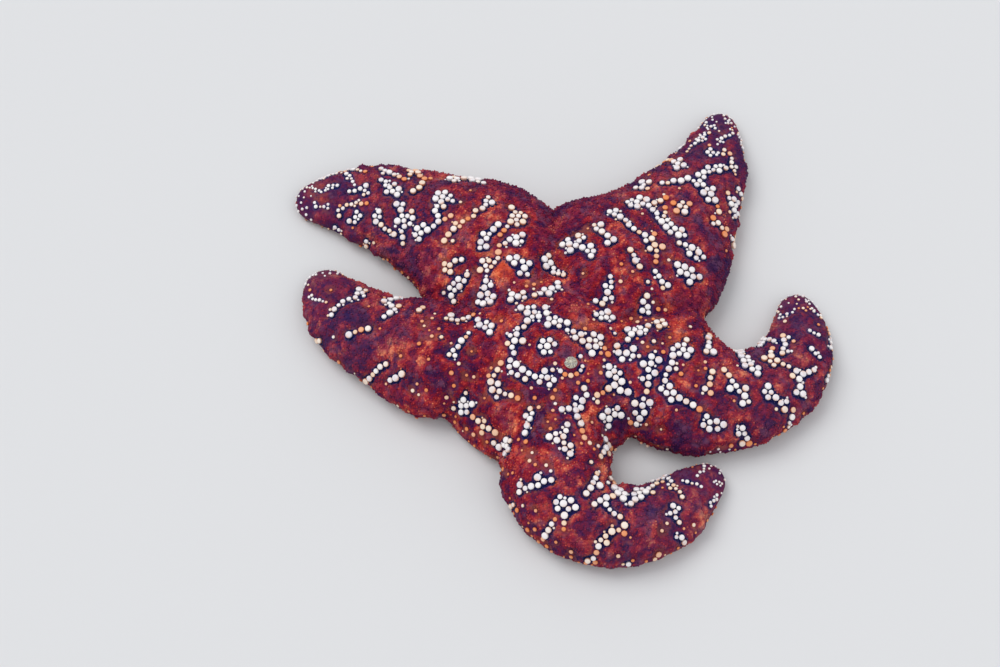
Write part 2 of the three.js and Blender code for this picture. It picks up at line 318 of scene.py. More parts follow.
def growTube(arm, sections, sides, lowerSquash=1.0):
    # a section is its share along the arm, and in mm its half width, its shift to the left, its half height
    # and the height of its middle
    places = np.array([onPath(arm, section[0])[0] for section in sections])
    chords = np.diff(places, axis=0)
    runs = np.concatenate([[0], np.cumsum(np.hypot(chords[:, 0], chords[:, 1]))])
    headings = np.arctan2(chords[:, 1], chords[:, 0])
    tube = add("circle", "tube", vertices=sides, radius=mm, fill_type="NGON", rotation=(0, math.pi / 2, 0))
    startEdit(tube)
    for below, narrower in body["narrowed"]:
        selectVerts(tube, lambda vert: vert.co.z < below * mm)
        bpy.ops.transform.resize(value=(1, narrower, 1), center_override=(0, 0, 0))
    selectVerts(tube, lambda vert: vert.co.z < -0.01 * mm)
    bpy.ops.transform.resize(value=(1, 1, lowerSquash), center_override=(0, 0, 0))
    bpy.ops.mesh.select_all(action="SELECT")
    _, wide, shift, tall, lift = sections[0]
    bpy.ops.transform.resize(value=(1, wide, tall), center_override=(0, 0, 0))
    bpy.ops.transform.translate(value=(0, shift * mm, lift * mm))
    for i in range(1, len(sections)):
        last, now = sections[i - 1], sections[i]
        step = (runs[i] - runs[i - 1], (now[2] - last[2]) * mm, (now[4] - last[4]) * mm)
        bpy.ops.mesh.extrude_region_move(TRANSFORM_OT_translate={"value": step})
        bpy.ops.transform.resize(value=(1, now[1] / last[1], now[3] / last[3]),
                                 center_override=(runs[i], now[2] * mm, now[4] * mm))
    bpy.ops.mesh.select_all(action="SELECT")
    bpy.ops.mesh.normals_make_consistent(inside=False)
    shape = bmesh.from_edit_mesh(tube.data)
    section = [int(np.abs(runs - vert.co.x).argmin()) for vert in shape.verts]
    # the straight tube is bent from its tip back to its start
    for i in range(len(sections) - 2, 0, -1):
        selectVerts(tube, lambda vert: section[vert.index] >= i)
        turn(headings[i] - headings[i - 1], (runs[i], 0, 0))
    bpy.ops.mesh.select_all(action="SELECT")
    turn(headings[0], (0, 0, 0))
    bpy.ops.transform.translate(value=(places[0][0], places[0][1], 0))
    endEdit()
    return tube


def armSections(arm):
    sections = []
    for share in body["shares"]:
        left, right = halfWidth(arm, share, 1), halfWidth(arm, share, -1)
        flank = backHeight(share) * body["flankShare"]
        soft = roundness(share)
        wide = max((left + right) / 2 * soft - body["coat"], body["leastSize"])
        tall = max((backHeight(share) - flank) * soft - body["coat"], body["leastSize"])
        sections.append((share, wide, (left - right) / 2 * soft, tall, flank))
    return sections


def makeBody():
    parts = [growTube(arm, armSections(arm), body["sides"], body["underside"]) for arm in arms.values()]
    radius, height = body["discRadius"] - body["coat"], body["discHeight"] - body["coat"]
    dome = add("uv_sphere", "dome", segments=48, ring_count=24, radius=radius * mm, location=middle)
    squash(dome, height / radius, middle)
    return joinAll("skin", parts + [dome])


groove = {"shares": [0.04, 0.1, 0.2, 0.3, 0.4, 0.5, 0.6, 0.7, 0.8, 0.88, 0.94, 0.975],
          "halfWidth": 3.9, "depth": 7.2, "tipShare": 0.35, "sides": 12, "voxel": 0.9,
          "mouthRadius": 7.5, "mouthRoof": 4.6, "mouthDepth": 6.5}


def grooveScale(share):
    return 1 + (groove["tipShare"] - 1) * share


def makeCutter():
    wide, deep = groove["halfWidth"], groove["depth"]
    sections = [(share, wide * grooveScale(share), 0, deep * grooveScale(share), 0)
                for share in groove["shares"]]
    parts = [growTube(arm, sections, groove["sides"]) for arm in arms.values()]
    cone = add("cone", "mouth", vertices=30, radius1=groove["mouthRadius"] * mm,
               radius2=groove["mouthRoof"] * mm, depth=2 * groove["mouthDepth"] * mm, location=middle)
    return joinAll("cutter", parts + [cone])


skin = makeBody()
finishWith(skin, "REMESH", mode="VOXEL", voxel_size=body["firstVoxel"] * mm)
flattenBelow(skin, body["floorGap"] * mm)
cutter = makeCutter()
finishWith(cutter, "REMESH", mode="VOXEL", voxel_size=groove["voxel"] * mm)
finishWith(skin, "BOOLEAN", operation="DIFFERENCE", object=cutter, solver="EXACT")
remove(cutter)
finishWith(skin, "REMESH", mode="VOXEL", voxel_size=body["voxel"] * mm)
finishWith(skin, "SMOOTH", factor=0.5, iterations=body["smoothing"])
points, normals = placesOf(skin.data), placesOf(skin.data, "normal")
print("skin:", len(skin.data.polygons), "faces")


# where every point of the skin lies on the animal

def armPlaces(where):
    # each point belongs to the arm that it lies deepest in, and gets four rows: the share along that arm,
    # mm to its left, how thickly its spines stand, and its heading there
    nearest = np.full(len(where), 1e9)
    found = np.zeros((4, len(where)))
    for arm in arms.values():
        path = arm["path"]
        away = np.hypot(where[:, 0, None] - path[None, :, 0], where[:, 1, None] - path[None, :, 1])
        step = away.argmin(axis=1)
        heading = arm["headings"][step]
        across = ((where[:, 1] - path[step, 1]) * np.cos(heading)
                  - (where[:, 0] - path[step, 0]) * np.sin(heading))
        wide = np.where(across > 0, arm["widths"][0, step], arm["widths"][1, step])
        closest = away[np.arange(len(where)), step] / mm - wide
        better = closest < nearest
        nearest[better] = closest[better]
        spines = np.full(len(where), arm["spines"])
        found[:, better] = np.stack([step / pathSteps, across / mm, spines, heading])[:, better]
    return found


reach, side, density, headings = armPlaces(points)
fromMiddle = flatAway(points, middle)
skinCorners = np.empty(len(skin.data.loops), int)
skin.data.loops.foreach_get("vertex_index", skinCorners)
skinCorners = skinCorners.reshape(-1, 4)
bareFinder = BVHTree.FromPolygons(points.tolist(), skinCorners.tolist())
pointTree = treeOf(points)

# the pattern of spines on the disc lies round a place a little in front of its middle
island = middle + Vector((0.3, -3.8, 0)) * mm
fromIsland = flatAway(points, island)

# the bare webs between two arms: mm from the middle, and how far each spreads sideways
webs = {"ea": (36, 1.0), "ab": (34, 0.6), "bc": (35, 0.6), "cd": (29, 0.7), "de": (37, 0.6)}


def webOf(where):
    # how far a place is into a web, from 0 to 1
    inWeb = np.zeros(len(where))
    for pair, (start, spread) in webs.items():
        way = betweenArms(pair, 0.25)
        way /= np.hypot(*way)
        ahead = ((where[:, 0] - middle.x) * way[0] + (where[:, 1] - middle.y) * way[1]) / mm
        across = np.abs((where[:, 1] - middle.y) * way[0] - (where[:, 0] - middle.x) * way[1]) / mm
        inWeb = np.maximum(inWeb, easeBetween(start, start + 5, ahead - across / spread))
    return inWeb * easeBetween(0.62, 0.55, reach)


backFrom = {"height": 3.2, "slope": -0.35}
web = webOf(points)
upper = (points[:, 2] > backFrom["height"] * mm) & (normals[:, 2] > backFrom["slope"])
print("places on the arms found")


def onSkin(place):
    return bareFinder.find_nearest(place)[:2]


def dropTo(finder, x, y):
    return finder.ray_cast((x, y, 0.1), (0, 0, -1))[0]


def onDisc(bearing, radius):
    return dropTo(bareFinder, *roundAbout(island, bearing, radius))


def girthOf(arm, share, sign):
    wide = halfWidth(arm, share, sign) * roundness(share)
    tall = backHeight(share) * (1 - body["flankShare"]) * roundness(share)
    return 0.5 * math.pi * math.sqrt((wide ** 2 + tall ** 2) / 2)


def onBack(arm, share, around):
    # a place on an arm's back, so many mm round its section from the midline, to the left where positive
    share = min(share, body["backEnd"])
    sign = 1 if around >= 0 else -1
    wide = halfWidth(arm, share, sign) * roundness(share)
    height = backHeight(share)
    flank = height * body["flankShare"]
    angle = min(0.5 * math.pi * abs(around) / girthOf(arm, share, sign), 0.6 * math.pi)
    x, y, _ = besidePath(arm, share, sign * wide * math.sin(angle))
    return Vector((x, y, (flank + (height - flank) * roundness(share) * math.cos(angle)) * mm))


# where the clusters of blunt spines lie: round the middle of the disc, then in ragged rows across each arm
ringOf = {"radius": 11.6, "count": 7, "start": 0.2, "jitter": 0.1, "curl": 0.8, "branch": 0.6, "chain": 0.75}
discOf = {"tries": 900, "inner": 0.25, "edge": 34, "pitch": 10.6, "fork": (2.1, 0.3), "firstLimb": 1.3,
          "near": 15, "chain": 0.12}
rowsOf = {"first": 36, "last": 0.975, "small": (0.45, 1), "pitch": (10.0, 6.6), "across": (13.5, 7.5),
          "jitter": (0.9, 1.4), "slant": (1.1, 2.5), "nearest": 8.0, "missing": 0.45, "sideLimb": (0.4, 3),
          "chain": 0.4, "spread": (0.85, 1.15), "closer": 0.4, "shorter": 0.45, "sparseLimb": 0.4}
fillOf = {"tries": 6000, "web": 0.3, "lowest": 6, "pitch": 9.8, "fromIsland": 14, "jitter": 0.35}
limbLengths = (0.8, 5.8)
laid = []


def isFree(start, apart):
    return all((start - other["start"]).length > apart * mm for other in laid)


def lay(start, ends, chain=None):
    # a cluster has a start, the ends of its limbs, and the cluster that a chain may join it to
    laid.append({"start": start, "ends": ends, "chain": chain})


def limb():
    return chance.uniform(*limbLengths)


def layRing():
    count = ringOf["count"]
    for i in range(count):
        bearing = 2 * math.pi * (i + ringOf["start"] + chance.normal() * ringOf["jitter"]) / count
        r = ringOf["radius"] + chance.normal()
        ends = [onDisc(bearing + sign * limb() / r * ringOf["curl"], r + chance.normal()) for sign in (-1, 1)]
        if chance.random() < ringOf["branch"]:
            ends.append(onDisc(bearing, r + 1 + limb()))
        joined = chance.random() < ringOf["chain"]
        lay(onDisc(bearing, r), ends, (i + 1) % count + 1 if joined else None)


def layDisc():
    for _ in range(discOf["tries"]):
        bearing = chance.uniform(0, 2 * math.pi)
        start = onDisc(bearing, discOf["edge"] * math.sqrt(chance.uniform(discOf["inner"], 1)))
        if not isFree(start, discOf["pitch"]):
            continue
        way, ends = chance.uniform(0, 2 * math.pi), []
        for i in range(chance.integers(1, 4)):
            turned = way + i * discOf["fork"][0] + chance.normal() * discOf["fork"][1]
            length = limb() * (discOf["firstLimb"] if i == 0 else 1.0) * mm
            ends.append(onSkin(start + facing(turned) * length)[0])
        near = [k for k, other in enumerate(laid)
                if 0 < (start - other["start"]).length < discOf["near"] * mm]
        joined = len(near) > 0 and chance.random() < discOf["chain"]
        lay(start, ends, near[0] if joined and near[0] > 0 else None)


def layRow(arm, share, small):
    # one row across an arm; clusters are small and close towards its tip
    sparse = 1 - arm["spines"]
    wide, narrow = rowsOf["across"]
    pitch = wide + (narrow - wide) * small
    around = -girthOf(arm, share, -1) + chance.uniform(0, pitch)
    last = None
    while around < girthOf(arm, share, 1):
        here = share + chance.normal() * (rowsOf["jitter"][0] + rowsOf["jitter"][1] * small) / arm["length"]
        start = onSkin(onBack(arm, here, around))[0]
        free = isFree(start, rowsOf["nearest"] * (1 - rowsOf["closer"] * small))
        if free and chance.random() > rowsOf["missing"] * sparse:
            slant = chance.normal() * (rowsOf["slant"][0] + rowsOf["slant"][1] * small) / arm["length"]
            lengths = [limb() * (1 - rowsOf["shorter"] * small) * (1 - rowsOf["sparseLimb"] * sparse)
                       for _ in (0, 1)]
            ends = [onSkin(onBack(arm, here + sign * slant, around + sign * length))[0]
                    for sign, length in zip((-1, 1), lengths)]
            odds, aside = rowsOf["sideLimb"]
            if chance.random() < odds:
                there = here + chance.choice([-1, 1]) * aside / arm["length"]
                ends.append(onSkin(onBack(arm, there, around))[0])
            chained = rowsOf["chain"] * (1 - 0.6 * sparse) * (1 - small)
            joined = last is not None and chance.random() < chained
            lay(start, ends, last if joined else None)
            last = len(laid) - 1
        else:
            last = None
        around += pitch * chance.uniform(*rowsOf["spread"])


def layArm(arm):
    along = rowsOf["first"]
    far, close = rowsOf["pitch"]
    while along < arm["length"] * rowsOf["last"]:
        small = easeBetween(*rowsOf["small"], along / arm["length"])
        layRow(arm, along / arm["length"], small)
        along += far + (close - far) * small


def fillGaps():
    # what is still bare between the rows gets a cluster of its own, lying across its arm
    bareBack = upper & (web < fillOf["web"]) & (points[:, 2] > fillOf["lowest"] * mm)
    for i in chance.permutation(np.flatnonzero(bareBack))[:fillOf["tries"]]:
        start = Vector(points[i])
        pitch = fillOf["pitch"] * (1 - 0.35 * easeBetween(*rowsOf["small"], reach[i])) / density[i] ** 0.4
        if isFree(start, pitch) and fromIsland[i] > fillOf["fromIsland"]:
            way = facing(headings[i] + math.pi / 2 + chance.normal() * fillOf["jitter"]) * mm
            lay(start, [onSkin(start + sign * way * limb() * density[i])[0] for sign in (-1, 1)])


# spines settle one beside another; a grid finds the neighbours of each
clusters = {
    "island": 7, "islandReach": 4.4, "bareRing": 7.8, "islandBelow": 15, "webEdge": 0.4, "cell": 4,
    "core": (1, 4), "perMm": 0.62, "sparser": 0.6, "steeper": 0.4, "tipward": 0.3, "steepMissing": 0.3,
    "radius": (0.82, 1.3), "steepScale": 0.3, "tipScale": 0.42, "gap": 0.22, "tipGap": 1.0, "apart": 1.2,
    # a place is good near its limbs and its start, and where it touches others; "pull" and "squeeze" have a
    # second value for the island
    "tries": 26, "offLimb": 1.2, "pull": (0.1, 0.9), "squeeze": (0.6, 0.3), "whim": 0.7, "touch": 0.42,
    "touching": 0.55,
    "tails": 0.3, "tail": (1, 3), "chain": 7, "fade": 0.34, "strays": (0.2, 0.35, 0.6, 0.9),
    "chainScale": 0.92, "chainApart": 0.7,
}
placed, grid = [], {}
# what owns the spines that belong to no cluster
loose, plateRing = -1, -2


def cellOf(spot):
    return tuple(int(c // (clusters["cell"] * mm)) for c in spot)


def nearby(spot):
    x, y, z = cellOf(spot)
    steps = (-1, 0, 1)
    cells = [(x + a, y + b, z + c) for a in steps for b in steps for c in steps]
    return [knob for cell in cells for knob in grid.get(cell, [])]


def gapBetween(spot, size, other):
    return (spot - other["spot"]).length / mm - size - other["size"]


def settle(spot, normal, size, own, end=0.0):
    knob = {"spot": spot, "normal": normal, "size": size, "own": own, "end": end,
            "corner": pointTree.find(spot)[1]}
    placed.append(knob)
    grid.setdefault(cellOf(spot), []).append(knob)
    return knob


def roomAt(spot, size, own, apart):
    # the smallest gap to any spine there, and how many of its own cluster it touches
    smallest, touching = 99.0, 0
    for other in nearby(spot):
        gap = gapBetween(spot, size, other)
        if other["own"] == own:
            touching += gap < clusters["touching"]
        else:
            gap -= apart
        smallest = min(smallest, gap)
    return smallest, touching


def allowed(spot, size, own):
    corner = pointTree.find(spot)[1]
    if not upper[corner] or web[corner] > clusters["webEdge"]:
        return False
    if (spot - plateMiddle).to_2d().length < (sieve["radius"] + size + 0.5) * mm:
        return False
    if spot.z < clusters["islandBelow"] * mm:
        return True
    away = fromIsland[corner]
    return away < clusters["islandReach"] if own == 0 else away > clusters["bareRing"]


def sizeNear(corner):
    low, high = clusters["radius"]
    size = low + (high - low) * chance.random() ** 0.8
    size *= 1 - clusters["steepScale"] * float(easeBetween(0.5, 0.1, normals[corner, 2]))
    return size * (1 - (1 - clusters["tipScale"]) * float(easeBetween(0.66, 0.99, reach[corner])))


def gapNear(knob):
    wider = (clusters["tipGap"] - clusters["gap"]) * chance.random()
    return clusters["gap"] + wider * float(easeBetween(0.7, 1, reach[knob["corner"]]))


def sidesOf(normal):
    across = normal.orthogonal().normalized()
    return across, normal.cross(across)


def spoke(sides, angle):
    return sides[0] * math.cos(angle) + sides[1] * math.sin(angle)


def beside(knob, angle, size, gap):
    way = spoke(sidesOf(knob["normal"]), angle)
    return onSkin(knob["spot"] + way * (knob["size"] + size + gap) * mm)


def offLimbs(spot, start, ends):
    away = (spot - start).length
    for end in ends:
        line = end - start
        share = min(max((spot - start).dot(line) / max(line.length_squared, 1e-12), 0), 1)
        away = min(away, (spot - start - line * share).length)
    return away / mm


def growCluster(own, start, ends, count):
    spot, normal = onSkin(start)
    size = sizeNear(pointTree.find(spot)[1])
    if not allowed(spot, size, own) or roomAt(spot, size, own, clusters["apart"])[0] < 0:
        return []
    mine = [settle(spot, normal, size, own)]
    pull, squeeze = (clusters[key][own == 0] for key in ("pull", "squeeze"))
    while len(mine) < count:
        size = sizeNear(mine[-1]["corner"])
        best, lowest = None, 1e9
        for _ in range(clusters["tries"]):
            knob = mine[chance.integers(len(mine))]
            spot, normal = beside(knob, chance.uniform(0, 2 * math.pi), size, gapNear(knob))
            room, touching = roomAt(spot, size, own, clusters["apart"])
            if room < squeeze * clusters["gap"] or not allowed(spot, size, own):
                continue
            score = clusters["offLimb"] * offLimbs(spot, start, ends) + pull * (spot - start).length / mm
            score += clusters["whim"] * chance.random() - clusters["touch"] * min(touching, 3)
            if score < lowest:
                best, lowest = (spot, normal, size), score
        if best is None:
            break
        mine.append(settle(*best, own))
    return mine


def growChain(knob, way, steps, own, target=None):
    # one spine after another, each turned a little, towards a target where there is one
    apart, fade = (clusters["chainApart"], clusters["fade"]) if target is None else (0, 0)
    for step in range(steps):
        if target is not None:
            way = (target - knob["spot"]).normalized()
        size = sizeNear(knob["corner"]) * clusters["chainScale"]
        across, other = sidesOf(knob["normal"])
        heading = math.atan2(way.dot(other), way.dot(across))
        # each try may stray further than the one before
        for stray in clusters["strays"]:
            angle = heading + chance.normal() * stray
            spot, normal = beside(knob, angle, size, gapNear(knob) + 0.1 * chance.random())
            if roomAt(spot, size, own, apart)[0] > 0.02 and allowed(spot, size, own):
                way = (spot - knob["spot"]).normalized()
                knob = settle(spot, normal, size, own, fade * (step + 1))
                break
        else:
            return


plateRingOf = {"radius": 4.5, "from": 195, "to": 415, "sizes": (0.7, 1.05), "odds": 0.85, "gap": 0.25}


def ringThePlate():
    # a broken ring of spines hugs the sieve plate on the side away from the middle
    radius, bearing = plateRingOf["radius"], plateRingOf["from"]
    while bearing < plateRingOf["to"]:
        x, y = roundAbout(plateMiddle, math.radians(bearing), radius)
        spot, normal = onSkin(Vector((x, y, plateMiddle.z)))
        size = chance.uniform(*plateRingOf["sizes"])
        if chance.random() < plateRingOf["odds"] and roomAt(spot, size, plateRing, 0)[0] > 0.05:
            settle(spot, normal, size, plateRing, chance.choice([0, 0, 0.5]))
        bearing += math.degrees((size * 2 + plateRingOf["gap"]) / radius)


def countFor(own, cluster):
    corner = pointTree.find(cluster["start"])[1]
    sparse = (1 - density[corner]) * float(easeBetween(0.15, 0.4, reach[corner]))
    steep = float(easeBetween(0.62, 0.25, normals[corner, 2]))
    lengths = sum((end - cluster["start"]).length for end in cluster["ends"]) / mm
    count = chance.integers(*clusters["core"], endpoint=True) + clusters["perMm"] * lengths
    fewer = (1 - clusters["sparser"] * sparse) * (1 - clusters["steeper"] * steep)
    count *= fewer * (1 - clusters["tipward"] * float(easeBetween(0.6, 1, reach[corner])))
    if own and chance.random() < clusters["steepMissing"] * steep:
        return 0
    return clusters["island"] if own == 0 else int(round(count))


def nearestOf(knobs, place):
    return min(knobs, key=lambda knob: (knob["spot"] - place).length)


def growAll():
    grown = []
    for own, cluster in enumerate(laid):
        count = countFor(own, cluster)
        grown.append(growCluster(own, cluster["start"], cluster["ends"], count) if count else [])
    for own, cluster in enumerate(laid):
        joined = cluster["chain"]
        if joined is not None and grown[own] and grown[joined]:
            target = nearestOf(grown[joined], cluster["start"])["spot"]
            growChain(nearestOf(grown[own], target), None, clusters["chain"], own, target)
    for own, cluster in enumerate(laid[1:], 1):
        for end in cluster["ends"]:
            if grown[own] and chance.random() < clusters["tails"]:
                way = (end - cluster["start"]).normalized()
                steps = chance.integers(*clusters["tail"], endpoint=True)
                growChain(nearestOf(grown[own], end), way, steps, own)


lay(onDisc(0, 0), [])
layRing()
layDisc()
for arm in arms.values():
    layArm(arm)
fillGaps()
ringThePlate()
growAll()
print("clusters grown:", len(laid), "with", len(placed), "spines")

# small ones fill the clusters' nooks, crowd the tips, lie in bunches as orange beads and dot the margins
smallKnobs = {
    "nooks": 0.22, "nook": (0.34, 0.6), "nookTries": 8, "tipFrom": 0.94, "lowest": 4,
    # spacing, odds, sizes and how far each kind counts as an orange end
    "tips": (1.9, 1, (0.34, 0.56), 0), "beads": (2.3, 0.45, (0.42, 0.9), 1),
    "strays": (6.5, 0.006, (0.45, 0.8), 1), "margins": (2.5, 0.3, (0.38, 0.7), 0.5),
    "marginHeights": (2.4, 6), "marginSlope": 0.75,
}
taken = np.zeros(len(points), bool)


def fillNooks():
    for knob in list(placed):
        if chance.random() < smallKnobs["nooks"]:
            size = chance.uniform(*smallKnobs["nook"])
            for _ in range(smallKnobs["nookTries"]):
                spot, normal = beside(knob, chance.uniform(0, 2 * math.pi), size, 0.04)
                if roomAt(spot, size, knob["own"], 0.3)[0] > 0 and allowed(spot, size, knob["own"]):
                    settle(spot, normal, size, knob["own"])
                    break


def take(place, within):
    for _, j, _ in pointTree.find_range(place, within * mm):
        taken[j] = True


def scatter(where, spacing, odds, sizes, end):
    for i in chance.permutation(np.flatnonzero(where)):
        if not taken[i] and chance.random() < odds:
            take(points[i], spacing)
            settle(Vector(points[i]), Vector(normals[i]), chance.uniform(*sizes), loose, end)


def addSmallKnobs():
    fillNooks()
    for knob in placed:
        take(knob["spot"], knob["size"] + 1.3)
    atTip = upper & (reach > smallKnobs["tipFrom"]) & (ripple(points, 4.5, 7) > -0.35)
    scatter(atTip, *smallKnobs["tips"])
    inside = upper & (reach < smallKnobs["tipFrom"]) & (fromIsland > clusters["bareRing"] - 2)
    inside &= points[:, 2] > smallKnobs["lowest"] * mm
    crowded = ripple(points, 18, 6) + 0.35 * np.cos(bearings(points, middle) + 1.2)
    bunched = inside & (crowded > 0.1 + 1.1 * easeBetween(0.3, 0.6, reach)) & (ripple(points, 7.5, 13) > 0.3)
    scatter(bunched & (web < 0.8), *smallKnobs["beads"])
    scatter(inside & (web < 0.5), *smallKnobs["strays"])
    low, high = smallKnobs["marginHeights"]
    margin = (points[:, 2] > low * mm) & (points[:, 2] < high * mm)
    margin &= (np.abs(normals[:, 2]) < smallKnobs["marginSlope"]) & (ripple(points, 12, 15) > -0.4)
    scatter(margin, *smallKnobs["margins"])


addSmallKnobs()
roots, rootSize, rootIndex, rootEnd = (
    np.array([knob[key] for knob in placed]) for key in ("spot", "size", "corner", "end"))
rootOffset = roots - points[rootIndex]


def spread(low, high):
    return chance.uniform(low, high, len(roots))


# how orange each one is: by its cluster, where it stands alone, at a chain's end, and on the flanks
orange = {"cluster": 0.6, "patch": 13, "loneGap": 0.9, "loneOdds": 0.45, "lone": (0.1, 0.55),
          "end": (0.2, 0.9), "flank": (0.1, 0.5), "any": (0, 0.12)}
centres = np.array([laid[knob["own"]]["start"] if knob["own"] >= 0 else knob["spot"] for knob in placed])
tint = orange["cluster"] * easeBetween(0.55, 0.85, ripple(centres, orange["patch"], 8)) * spread(0.3, 1)
gaps = [[gapBetween(knob["spot"], knob["size"], other) for other in nearby(knob["spot"])] for knob in placed]
crowding = np.array([sum(gap < orange["loneGap"] for gap in near) - 1 for near in gaps])
tint += (crowding <= 2) * (chance.random(len(roots)) < orange["loneOdds"]) * spread(*orange["lone"])
tint += np.minimum(rootEnd, 1) * spread(*orange["end"])
tint += easeBetween(0.55, 0.2, normals[rootIndex, 2]) * spread(*orange["flank"])
tint = np.clip(tint * easeBetween(1.02, 0.9, reach[rootIndex]) + spread(*orange["any"]), 0, 1)
print("spines placed:", len(roots))

# the skin's relief: cushions between the spines, in mm
relief = {"halo": 0.95, "around": 4.2, "puff": 0.9, "lumps": 0.75, "lumpSpacing": 2.7, "lumpEdge": 1.7,
          "ripples": 0.3, "rippleSize": 1.6}
heights = points[:, 2] / mm


def aroundKnobs(where):
    # how far the nearest spine is, and how much spines crowd a place, as they do in the nooks between them
    tree = treeOf(roots)
    away, crowd = np.full(len(where), 99.0), np.zeros(len(where))
    weight = (1 - 0.85 * easeBetween(0.3, 0.7, tint)) * easeBetween(0.35, 0.8, rootSize)
    for i in np.flatnonzero(upper):
        for _, j, distance in tree.find_range(where[i], relief["around"] * mm):
            gap = distance / mm - rootSize[j]
            away[i] = min(away[i], gap)
            crowd[i] += weight[j] * math.exp(-(max(gap, 0) / relief["halo"]) ** 2)
    return away, crowd


# warm patches: arm, share along it, mm to the left, size in mm, strength
flushes = [("a", 0.28, -4, 8, 1.25), ("a", 0.43, 0, 12, 0.5), ("a", 0.62, -10, 9, 0.5),
           ("b", 0.48, 3, 13, 0.55), ("d", 0.36, 17, 10, 0.85), ("e", 0.34, -20, 8, 0.8),
           ("e", 0.1, -7, 8, 0.7), ("e", 0.6, 14, 9, 0.4), ("c", 0.25, -14, 7, 0.6),
           ("c", 0.54, 7, 8, 0.8), ("c", 0.48, -14, 8, 0.7)]


def flushOf(where):
    flush = np.zeros(len(where))
    for key, share, aside, size, strength in flushes:
        away = flatAway(where, besidePath(arms[key], share, aside)) / size
        flush = np.maximum(flush, strength * (1 - easeBetween(0.2, 1.2, away + 0.25 * ripple(where, 7, 14))))
    return flush


def lumpsOf(where):
    # cells round scattered seeds: how far a place is from its cell's edge, and the cell's own tone
    seeds = where[chance.permutation(len(where))]
    seeds = seeds[thinned(seeds, relief["lumpSpacing"])]
    tree, tones = treeOf(seeds), chance.random(len(seeds))
    edge, tone = np.empty(len(where)), np.empty(len(where))
    for i, place in enumerate(where):
        (_, first, near), (_, second, far) = tree.find_n(place, 2)
        edge[i] = (far - near) / mm
        shared = 0.5 * (1 - float(easeBetween(0, 0.8, edge[i])))
        tone[i] = tones[first] + (tones[second] - tones[first]) * shared
    return easeBetween(0, relief["lumpEdge"], edge), tone


knobAway, crowd = aroundKnobs(points)
flanks = treeOf(points[(heights > 2.6) & (heights < 4) & (normals[:, 2] > -0.5)])
ragged = 0.95 + 0.4 * ripple(points, 4.5, 12)
atEnd = easeBetween(0.8, 1, reach)
marks = {
    "wreath": easeBetween(0.25, 0.95, crowd * ragged) * easeBetween(2.2, 3.2, heights),
    "puff": easeBetween(0.2, 2.8, knobAway) * easeBetween(2.5, 5, heights) * (1 - 0.6 * atEnd),
    "bare": easeBetween(3.0, 6.0, knobAway),
    "reach": reach,
    "flush": flushOf(points),
    "under": easeBetween(-0.35, -0.85, normals[:, 2]) * easeBetween(3.4, 2.4, heights),
    "rim": easeBetween(7, 2, np.array([flanks.find(place)[2] for place in points]) / mm),
}
marks["lump"], marks["tone"] = lumpsOf(points)

pattern = bpy.data.textures.new("ripples", "CLOUDS")
pattern.noise_scale = relief["rippleSize"] * mm
pressBy(skin, relief["lumps"], marks["puff"] * marks["lump"])
pressBy(skin, relief["ripples"], marks["puff"], 0.5, texture=pattern, texture_coords="LOCAL")
pressBy(skin, relief["puff"], marks["puff"])
finishWith(skin, "SMOOTH", factor=0.4, iterations=2)
setValues(skin.data, marks)
smoothShaded(skin)
points, normals = placesOf(skin.data), placesOf(skin.data, "normal")
skinFinder = BVHTree.FromPolygons(points.tolist(), skinCorners.tolist())
roots = np.array([skinFinder.find_nearest(Vector(place))[0] for place in points[rootIndex] + rootOffset])
print("skin shaped")


def samplesOver(count):
    # places spread evenly over the skin, with its normal there and its nearest corner
    corners = points[skinCorners]
    area = np.linalg.norm(np.cross(corners[:, 2] - corners[:, 0], corners[:, 3] - corners[:, 1]), axis=1)
    face = chance.choice(len(skinCorners), count, p=area / area.sum())
    u, v = chance.random((2, count, 1))
    shares = ((1 - u) * (1 - v), u * (1 - v), u * v, (1 - u) * v)
    place = sum(share * points[skinCorners[face, k]] for k, share in enumerate(shares))
    normal = sum(share * normals[skinCorners[face, k]] for k, share in enumerate(shares))
    return place, normal, skinCorners[face, 0]


# an unwrap of the skin's own shape, where each coat piece finds its roots' places
unwrap = {"voxel": 2.4, "smoothing": 6, "angle": 66, "margin": 0.004, "patch": 0.003}


def makeUnwrap():
    pick(skin)
    bpy.ops.object.duplicate()
    shell = bpy.context.active_object
    finishWith(shell, "REMESH", mode="VOXEL", voxel_size=unwrap["voxel"] * mm)
    finishWith(shell, "SMOOTH", factor=0.5, iterations=unwrap["smoothing"])
    startEdit(shell, "FACE")
    bpy.ops.uv.smart_project(angle_limit=math.radians(unwrap["angle"]), island_margin=unwrap["margin"])
    endEdit()
    mesh = shell.data
    corners = np.empty(len(mesh.loops) * 2)
    mesh.uv_layers.active.data.foreach_get("uv", corners)
    corners = corners.reshape(-1, 2)
    spots = np.array([corners[list(face.loop_indices)].mean(axis=0) for face in mesh.polygons])
    finder = BVHTree.FromPolygons([v.co for v in mesh.vertices], [tuple(f.vertices) for f in mesh.polygons])
    remove(shell)
    return finder, spots


unwrapFinder, unwrapSpots = makeUnwrap()
print("skin unwrapped:", len(unwrapSpots), "faces")


# joined copies of one small shape

